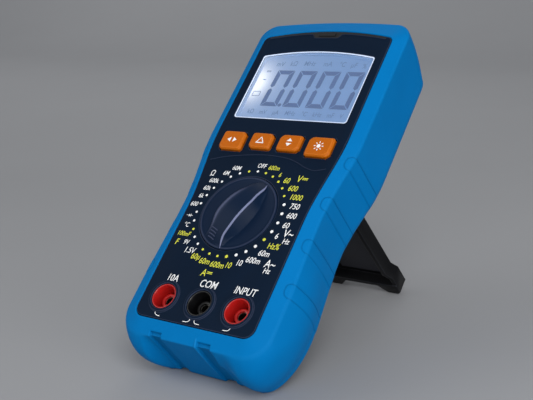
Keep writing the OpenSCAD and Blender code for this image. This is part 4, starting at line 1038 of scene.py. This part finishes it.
def nought(bm, left, lift):
    """The six lit bars of a seven-segment nought, mitred where they meet."""
    (wide, tall), low, t, gap = DIGIT_SIZE, DIGIT_START[1], BAR_T, BAR_GAP
    high, mid, right = low + tall, low + tall / 2, left + wide
    ends = ((low, 1.0), (high, -1.0))
    bars = [((left + gap, v), (right - gap, v), (right - t - gap, v + s * t), (left + t + gap, v + s * t))
            for v, s in ends]
    bars += [((u, v + s * gap), (u, mid - s * t * 0.6), (u + d * t / 2, mid - s * gap),
              (u + d * t, mid - s * t * 0.6), (u + d * t, v + s * (t + gap)))
             for v, s in ends for u, d in ((left, 1.0), (right, -1.0))]
    for bar in bars:
        bm.faces.new([bm.verts.new((u + (v - low) * DIGIT_SLANT, v, lift)) for u, v in bar])


def disc(bm, u, v, radius, lift, segments):
    """A printed disc."""
    made = bmesh.ops.create_circle(bm, cap_ends=True, radius=radius, segments=segments)
    bmesh.ops.translate(bm, verts=made["verts"], vec=(u, v, lift))


def letters(bm, text, cap, u, v, w, slant=TYPE_SLANT):
    """Set a line of narrow type flat on the face, centred, its capitals cap high."""
    curve = bpy.data.curves.new("type", "FONT")
    curve.body = text
    curve.size = cap / TYPE_CAP
    curve.shear = slant
    curve.align_x = "CENTER"
    curve.align_y = "CENTER"
    curve.offset = TYPE_WEIGHT * cap
    curve.resolution_u = 3
    holder = bpy.data.objects.new("type", curve)
    bpy.context.scene.collection.objects.link(holder)
    mesh = bpy.data.meshes.new_from_object(holder)
    mesh.transform(Matrix.Translation((u, v, w)) @ Matrix.Diagonal((TYPE_WIDTH, 1.0, 1.0, 1.0)))
    bm.from_mesh(mesh)
    bpy.data.objects.remove(holder)
    bpy.data.curves.remove(curve)
    bpy.data.meshes.remove(mesh)


def stroke(bm, points, width, lift):
    """A flat printed line through the points."""
    rows = []
    for i, p in enumerate(points):
        way = (Vector(points[min(i + 1, len(points) - 1)]) - Vector(points[max(i - 1, 0)])).normalized()
        side = Vector((-way.y, way.x)) * width / 2
        rows.append(plain([Vector((p[0] + d * side.x, p[1] + d * side.y, lift)) for d in (1.0, -1.0)]))
    swept(bm, rows, around=False)


def dot_place(i):
    """Where the dot of a selector position lies."""
    a = math.radians(90.0 - 360.0 / len(RANGES) * i)
    return Vector((DIAL_U + DOT_R * math.cos(a), DOT_R * math.sin(a)))


def build_prints():
    """The dots, numbers and unit signs round the selector and over the sockets."""
    lift = size("ink")
    print_of = {"w": bmesh.new(), "y": bmesh.new()}
    for i, (colour, text, u, v) in enumerate(RANGES):
        bm = print_of[colour]
        disc(bm, *dot_place(i), BIG_DOT if i in BIG_DOTS else DOT, lift, 18)
        if text:
            big = i > 2 and u > -20.0 and v < 19.0
            letters(bm, text, BIG_CAP if big else CAP, u, v, lift)
    for colour, text, u, v, cap in UNITS:
        letters(print_of[colour], text, cap, u, v, lift)
    white = print_of["w"]
    for mark in SOCKET_MARKS:
        stroke(white, smooth_line(mark, 12), 0.3, lift)
    _, _, u, v = RANGES[DIODE]
    stroke(white, [(u - 1.6, v), (u + 1.6, v)], 0.22, lift)
    stroke(white, [(u + 0.55, v - 0.75), (u + 0.55, v + 0.75)], 0.24, lift)
    wedge(white, (u - 0.5, v + 0.7), (u - 0.5, v - 0.7), (u + 0.5, v), lift)
    flat_piece(white, "white_print", "meter", "white")
    flat_piece(print_of["y"], "yellow_print", "meter", "yellow")


def wedge(bm, a, b, c, lift):
    """A printed triangle."""
    bm.faces.new([bm.verts.new((u, v, lift)) for u, v in (a, b, c)])


def thicken(bm, depth):
    """Give flat faces a thickness, downwards from where they lie."""
    made = bmesh.ops.extrude_face_region(bm, geom=bm.faces[:])["geom"]
    bmesh.ops.translate(bm, verts=verts_of(made), vec=(0.0, 0.0, -depth))


def flat_piece(bm, name, body, finish):
    """A printed film, sunk a little into what carries it."""
    thicken(bm, size("ink") * 4.0 / 3.0)
    return finish_piece(bm, name, body, finish, angle=None)


def grip_section(spot):
    """One cut through the selector's grip, from the left foot over the top to the right.

    spot is the place along the grip and the width there, both as shares. The left edge is rounded, narrows
    towards the tail and carries a soft painted highlight; the right edge is a sharp chamfer painted pale
    along its length as a highlight."""
    along = spot[0] * (KNOB_R - 0.4)
    wide = spot[1] * GRIP_HALF
    high = grip_height(along)
    crest = wide * (1.0 - (1.0 - GRIP_CREST / GRIP_HALF) * high / GRIP_H)
    sharp = min(size("grip_edge"), 0.2 * crest, 0.22 * high)
    narrow = 1.14 - 0.5 * ease((-spot[0] - 0.2) / 0.7)
    lean = crest * narrow
    round_off = min(size("grip_round"), 0.5 * lean, 0.5 * high)
    # Painted highlight along the left rounding, strongest in the grip's middle
    gleam = GLEAM * ease((16.0 - abs(along + 2.0)) / 12.0)
    foot = [(0.9, -0.12, 0.0), (0.35, 0.03, 0.0), (-0.02, 0.14 * high, 0.0)]
    right = [(wide + x, z, rub_and_highlight) for x, z, rub_and_highlight in foot]
    # Painted highlight: the right chamfer is painted pale along its whole length
    right += [(wide + (crest - wide) * 0.5, 0.5 * high, 0.0), (crest + 0.14, high - sharp - 0.1, 0.0),
              (crest + 0.08, high - sharp, 0.9), (crest + 0.02, high - 0.9 * sharp, 0.9),
              (crest - 0.9 * sharp, high - 0.02, 0.9), (crest - sharp, high, 0.9),
              (crest - sharp - 0.1, high, 0.0), (0.4 * crest, high, 0.0)]
    left = [(wide * narrow + x, z, rub_and_highlight) for x, z, rub_and_highlight in foot]
    left += [(lean - round_off * (1.0 - math.cos(a)), high - round_off * (1.0 - math.sin(a)),
              gleam * math.sin(a) ** 8) for a in (math.radians(10 * i) for i in range(10))]
    left += [((lean - round_off) * (1.0 - t), high, gleam * (1.0 - t) ** 7)
             for t in (0.1, 0.2, 0.32, 0.48, 0.7)]
    return ([(Vector((-x, along, z)), rub_and_highlight, 0.0) for x, z, rub_and_highlight in left]
            + [(Vector((x, along, z)), rub_and_highlight, 0.0) for x, z, rub_and_highlight in reversed(right)])


def grip_height(along):
    """The grip's top: a shallow arc that meets the disc at both ends."""
    return max(GRIP_H - GRIP_ARC + math.sqrt(GRIP_ARC ** 2 - along * along), 0.05)


def build_knob():
    """The selector: a flush disc with a leaf-shaped grip that rises from it and falls to its edge."""
    node = frame["nodes"]["selector_knob"]
    inverse = FACE.inverted()
    foot = min((inverse @ v.co).z for v in node.data.vertices)
    bm = bmesh.new()
    hub = ((HUB_R, KNOB_RIM[-1][1]), (HUB_R, foot), (0.0, foot))
    lathe(bm, KNOB_RIM + hub, 128, False)
    swept(bm, [grip_section(spot) for spot in smooth_line(GRIP_SHAPE, 61)])
    close(bm)
    limit = KNOB_R - 0.25
    wear_and_highlight = bm.verts.layers.float["wear_and_highlight"]
    for v in bm.verts:
        away = math.hypot(v.co.x, v.co.y)
        if away > limit and v.co.z > 0.4:
            v.co.x *= limit / away
            v.co.y *= limit / away
        elif RIM_CREST[0] < away < RIM_CREST[1] and v.co.z > 0.3:
            # Painted highlight: a faint lighter band along the rim's crest
            v[wear_and_highlight] = max(v[wear_and_highlight], 0.1)
    for i in range(FINGER_RIDGES):
        y = FINGER_START + FINGER_STEP * i
        ridge(bm, [(x, y - 0.04 * x * x, grip_height(y)) for x in FINGER_LINE], *FINGER_SIZE, 0.25)
    spot = Matrix.Translation((DIAL_U, 0.0, 0.0)) @ Matrix.Rotation(math.radians(KNOB_TURN), 4, "Z")
    finish_piece(bm, "selector_grip", "selector", "knob", ("selector_knob",), 40.0, FACE @ spot)


def rounded(points, reach):
    """The closed line with its corners rounded, starting up to reach before each corner."""
    line = []
    for i, p in enumerate(points):
        before, after = points[i - 1], points[(i + 1) % len(points)]
        a = p + (before - p).normalized() * min(reach, 0.5 * (before - p).length)
        b = p + (after - p).normalized() * min(reach, 0.5 * (after - p).length)
        line += [a * (1 - t) ** 2 + p * 2 * t * (1 - t) + b * t * t for t in (0.0, 0.25, 0.5, 0.75, 1.0)]
    return line


def build_buttons():
    """The four keys: the CAD's stem under a cap with rounded corners, a soft top and its sign."""
    for node in FINISH["button"]:
        bm = node_copy(node)
        top = max(v.co.z for v in bm.verts)
        foot = [v.co.to_2d() for v in bm.verts if abs(v.co.z - top / 2) < 0.01]
        centre = sum(foot, Vector((0.0, 0.0))) / len(foot)
        foot.sort(key=lambda p: math.atan2(p.y - centre.y, p.x - centre.x))
        bmesh.ops.bisect_plane(bm, geom=bm.verts[:] + bm.edges[:] + bm.faces[:], dist=0.001,
                               plane_co=(0.0, 0.0, KEY_CUT), plane_no=(0.0, 0.0, 1.0), clear_outer=True)
        line = rounded(foot, size("key_corner"))
        # The lowest rings carry painted shade where the key meets the panel
        rows = [[((centre + (p - centre) * share).to_3d() + Vector((0.0, 0.0, z * top)), rub_and_highlight, painted_shade)
                 for p in line] for share, z, rub_and_highlight, painted_shade in KEY_RINGS]
        swept(bm, rows)
        bmesh.ops.remove_doubles(bm, verts=bm.verts, dist=0.0005)
        close(bm)
        finish_piece(bm, node + "_cap", node, "button", (node,), 40.0)
        sign = bmesh.new()
        key_sign(sign, node, centre.x, centre.y, top + size("ink"))
        flat_piece(sign, node + "_sign", node, "white")


def key_sign(bm, node, u, v, lift):
    """A plain sign for a key: arrows, a triangle, a range or a lamp."""
    if node == "mode_button":
        for s in (-1, 1):
            wedge(bm, (u + s * 0.7, v + 1.3), (u + s * 0.7, v - 1.3), (u + s * 2.6, v), lift)
    elif node == "relative_button":
        stroke(bm, [(u - 1.9, v - 1.4), (u, v + 1.7), (u + 1.9, v - 1.4)], 0.5, lift)
        stroke(bm, [(u - 2.1, v - 1.4), (u + 2.1, v - 1.4)], 0.5, lift)
    elif node == "peak_button":
        for s in (-1, 1):
            wedge(bm, (u - 1.5, v + s * 0.5), (u + 1.5, v + s * 0.5), (u, v + s * 2.1), lift)
    else:
        disc(bm, u, v, 0.95, lift, 24)
        for i in range(8):
            a = math.tau * i / 8
            stroke(bm, [(u + r * math.cos(a), v + r * math.sin(a)) for r in (1.5, 2.4)], 0.42, lift)


def build_sockets():
    """The three shrouded sockets: a flared well round a boss with the contact's hole."""
    for node, u in zip(("current_jack", "common_jack", "input_jack"), JACK_U):
        bm = bmesh.new()
        lathe(bm, JACK_CUT, 96, True)
        finish = "black_jack" if node == "common_jack" else "red_jack"
        place = FACE @ Matrix.Translation((u, JACK_V, 0.0))
        finish_piece(bm, node + "_body", "meter", finish, (node,), 35.0, place)


def build_back():
    """The rear case, its cover and the stand, with the soft edges that a mould leaves."""
    for node, body, finish, width in (("rear_case", "meter", "rear", 0.25),
                                      ("battery_cover", "meter", "rear", 0.3),
                                      ("tilt_stand", "stand", "stand", 0.5)):
        bm = node_copy(node)
        soften(bm, sharp_edges(bm, 50.0), width, 2)
        finish_piece(bm, node + "_moulding", body, finish, (node,), 40.0)

    bm = bmesh.new()
    for side in (-1.0, 1.0):
        ridge(bm, [(side * u, v, PLATE_Z) for u, v in RIB_LINE], *RIB_SIZE)
    hinge = Matrix.Translation(STAND_HINGE) @ Matrix.Rotation(math.radians(STAND_OPEN), 4, "X")
    finish_piece(bm, "stand_ribs", "stand", "stand", (), 40.0, FACE @ hinge)

    # Painted light: a lighter sheet on the stand's inner panel stands in for light bounced from the floor
    bm = bmesh.new()
    painted_light_web = bmesh.ops.create_cube(bm, size=1.0)["verts"]
    bmesh.ops.scale(bm, verts=painted_light_web, vec=WEB_SIZE)
    bmesh.ops.translate(bm, verts=painted_light_web, vec=WEB_PLACE)
    soften(bm, bm.edges[:], 0.1, 1)
    finish_piece(bm, "stand_web_painted_light", "stand", "painted_light_web", (), 40.0, FACE @ hinge)


def build_inside():
    """Give every CAD node that still shows, or shows when opened, its own finish."""
    for finish, nodes in FINISH.items():
        for node in nodes:
            data = frame["nodes"][node].data
            data.materials.clear()
            data.materials.append(finishes[finish])


def area(name, place, target, width, power):
    """A square soft light that looks at a point."""
    lamp = bpy.data.lights.new(name, "AREA")
    lamp.shape = "SQUARE"
    lamp.size = width
    lamp.energy = power
    holder = bpy.data.objects.new(name, lamp)
    holder.location = place
    holder.rotation_euler = (Vector(target) - Vector(place)).to_track_quat("-Z", "Y").to_euler()
    bpy.context.scene.collection.objects.link(holder)


def build_stage():
    """The pale floor and backdrop, the soft lights and the camera at the photograph's place."""
    bm = bmesh.new()
    start, bend = FLOOR_BEND
    profile = [(-FLOOR_REACH, 0.0), (start, 0.0)]
    profile += [(start + bend * math.sin(a), bend - bend * math.cos(a))
                for a in (math.radians(9 * i) for i in range(1, 11))]
    profile += [(start + bend, FLOOR_TOP)]
    verts = [bm.verts.new((-FLOOR_REACH, y, z - FLOOR_DROP)) for y, z in profile]
    edges = [bm.edges.new(pair) for pair in zip(verts, verts[1:])]
    made = bmesh.ops.extrude_edge_only(bm, edges=edges)["geom"]
    bmesh.ops.translate(bm, verts=verts_of(made), vec=(2.0 * FLOOR_REACH, 0.0, 0.0))
    mesh = bpy.data.meshes.new("floor")
    bm.to_mesh(mesh)
    bm.free()
    mesh.shade_smooth()
    # Studio paper: matt and pale, with a faint mottle about 167 mm wide
    material, tree, shader, place = blank("Pale_studio_paper")
    colour = colours().floor
    pulp = add(tree, "ShaderNodeTexNoise",
               {"Vector": place, "Scale": pattern(166.667), "Detail": 6.0}).outputs[0]
    tone = add(tree, "ShaderNodeMix", {0: pulp, 6: shade(colour, 0.97), 7: shade(colour, 1.03)},
               data_type="RGBA").outputs[2]
    feed(tree, shader, {"Base Color": tone, "Roughness": 0.85})
    mesh.materials.append(material)
    floor = bpy.data.objects.new("floor", mesh)
    bpy.context.scene.collection.objects.link(floor)

    world = bpy.data.worlds.new("studio")
    world.use_nodes = True
    feed(world.node_tree, world.node_tree.nodes["Background"], {"Color": SKY, "Strength": SKY_STRENGTH})
    bpy.context.scene.world = world
    for light in LIGHTS:
        area(*light)

    turned = FACE.to_3x3().normalized()
    lens = bpy.data.cameras.new("camera")
    lens.sensor_width = SENSOR_MM
    lens.lens = FOCAL_PIXELS / PICTURE_PIXELS * SENSOR_MM
    lens.clip_start = 0.01
    camera = bpy.data.objects.new("camera", lens)
    axes = Matrix(CAMERA_AXES).transposed()
    spot = FACE @ Vector(CAMERA_SPOT)
    camera.matrix_world = Matrix.Translation(spot) @ (turned @ axes).to_4x4()
    bpy.context.scene.collection.objects.link(camera)
    bpy.context.scene.camera = camera
    bpy.context.scene.view_settings.view_transform = "Standard"


class METER_OT_finishes(bpy.types.Operator):
    """Make the materials and put them on the CAD nodes"""
    bl_idname = "meter.finishes"
    bl_label = "Finishes"

    def execute(self, context):
        finishes.update(make_finishes())
        build_inside()
        return {"FINISHED"}


class METER_OT_holster(bpy.types.Operator):
    """Build the holster's skin with its pads, hollow and grooves"""
    bl_idname = "meter.holster"
    bl_label = "Holster"

    def execute(self, context):
        build_holster()
        return {"FINISHED"}


class METER_OT_panel(bpy.types.Operator):
    """Build the panel and its moulded lines"""
    bl_idname = "meter.panel"
    bl_label = "Panel"

    def execute(self, context):
        build_panel()
        return {"FINISHED"}


class METER_OT_display(bpy.types.Operator):
    """Build the window, the lit cell and the digits"""
    bl_idname = "meter.display"
    bl_label = "Display"

    def execute(self, context):
        build_display()
        return {"FINISHED"}


class METER_OT_prints(bpy.types.Operator):
    """Print the numbers and signs"""
    bl_idname = "meter.prints"
    bl_label = "Prints"

    def execute(self, context):
        build_prints()
        return {"FINISHED"}


class METER_OT_knob(bpy.types.Operator):
    """Build the selector"""
    bl_idname = "meter.knob"
    bl_label = "Selector"

    def execute(self, context):
        build_knob()
        return {"FINISHED"}


class METER_OT_buttons(bpy.types.Operator):
    """Build the four keys"""
    bl_idname = "meter.buttons"
    bl_label = "Buttons"

    def execute(self, context):
        build_buttons()
        return {"FINISHED"}


class METER_OT_sockets(bpy.types.Operator):
    """Build the three sockets"""
    bl_idname = "meter.sockets"
    bl_label = "Sockets"

    def execute(self, context):
        build_sockets()
        return {"FINISHED"}


class METER_OT_back(bpy.types.Operator):
    """Build the rear case, the battery cover and the stand"""
    bl_idname = "meter.back"
    bl_label = "Back and stand"

    def execute(self, context):
        build_back()
        return {"FINISHED"}


class METER_OT_stage(bpy.types.Operator):
    """Set the floor, the lights and the camera"""
    bl_idname = "meter.stage"
    bl_label = "Stage"

    def execute(self, context):
        build_stage()
        return {"FINISHED"}


STEPS = (METER_OT_finishes, METER_OT_holster, METER_OT_panel, METER_OT_display, METER_OT_prints,
         METER_OT_knob, METER_OT_buttons, METER_OT_sockets, METER_OT_back, METER_OT_stage)


class METER_PT_steps(bpy.types.Panel):
    """The steps of the build, in order"""
    bl_label = "Meter"
    bl_idname = "METER_PT_steps"
    bl_space_type = "VIEW_3D"
    bl_region_type = "UI"
    bl_category = "Meter"

    def draw(self, context):
        for step in STEPS:
            self.layout.operator(step.bl_idname)


CLASSES = (MeterSizes, MeterColours) + STEPS + (METER_PT_steps,)


def register():
    for kind in CLASSES:
        bpy.utils.register_class(kind)
    bpy.types.Scene.meter_sizes = bpy.props.PointerProperty(type=MeterSizes)
    bpy.types.Scene.meter_colours = bpy.props.PointerProperty(type=MeterColours)


def unregister():
    del bpy.types.Scene.meter_colours
    del bpy.types.Scene.meter_sizes
    for kind in reversed(CLASSES):
        bpy.utils.unregister_class(kind)


def main():
    register()
    bpy.ops.meter.finishes()
    bpy.ops.meter.holster()
    bpy.ops.meter.panel()
    bpy.ops.meter.display()
    bpy.ops.meter.prints()
    bpy.ops.meter.knob()
    bpy.ops.meter.buttons()
    bpy.ops.meter.sockets()
    bpy.ops.meter.back()
    bpy.ops.meter.stage()


if __name__ == "__main__":
    main()
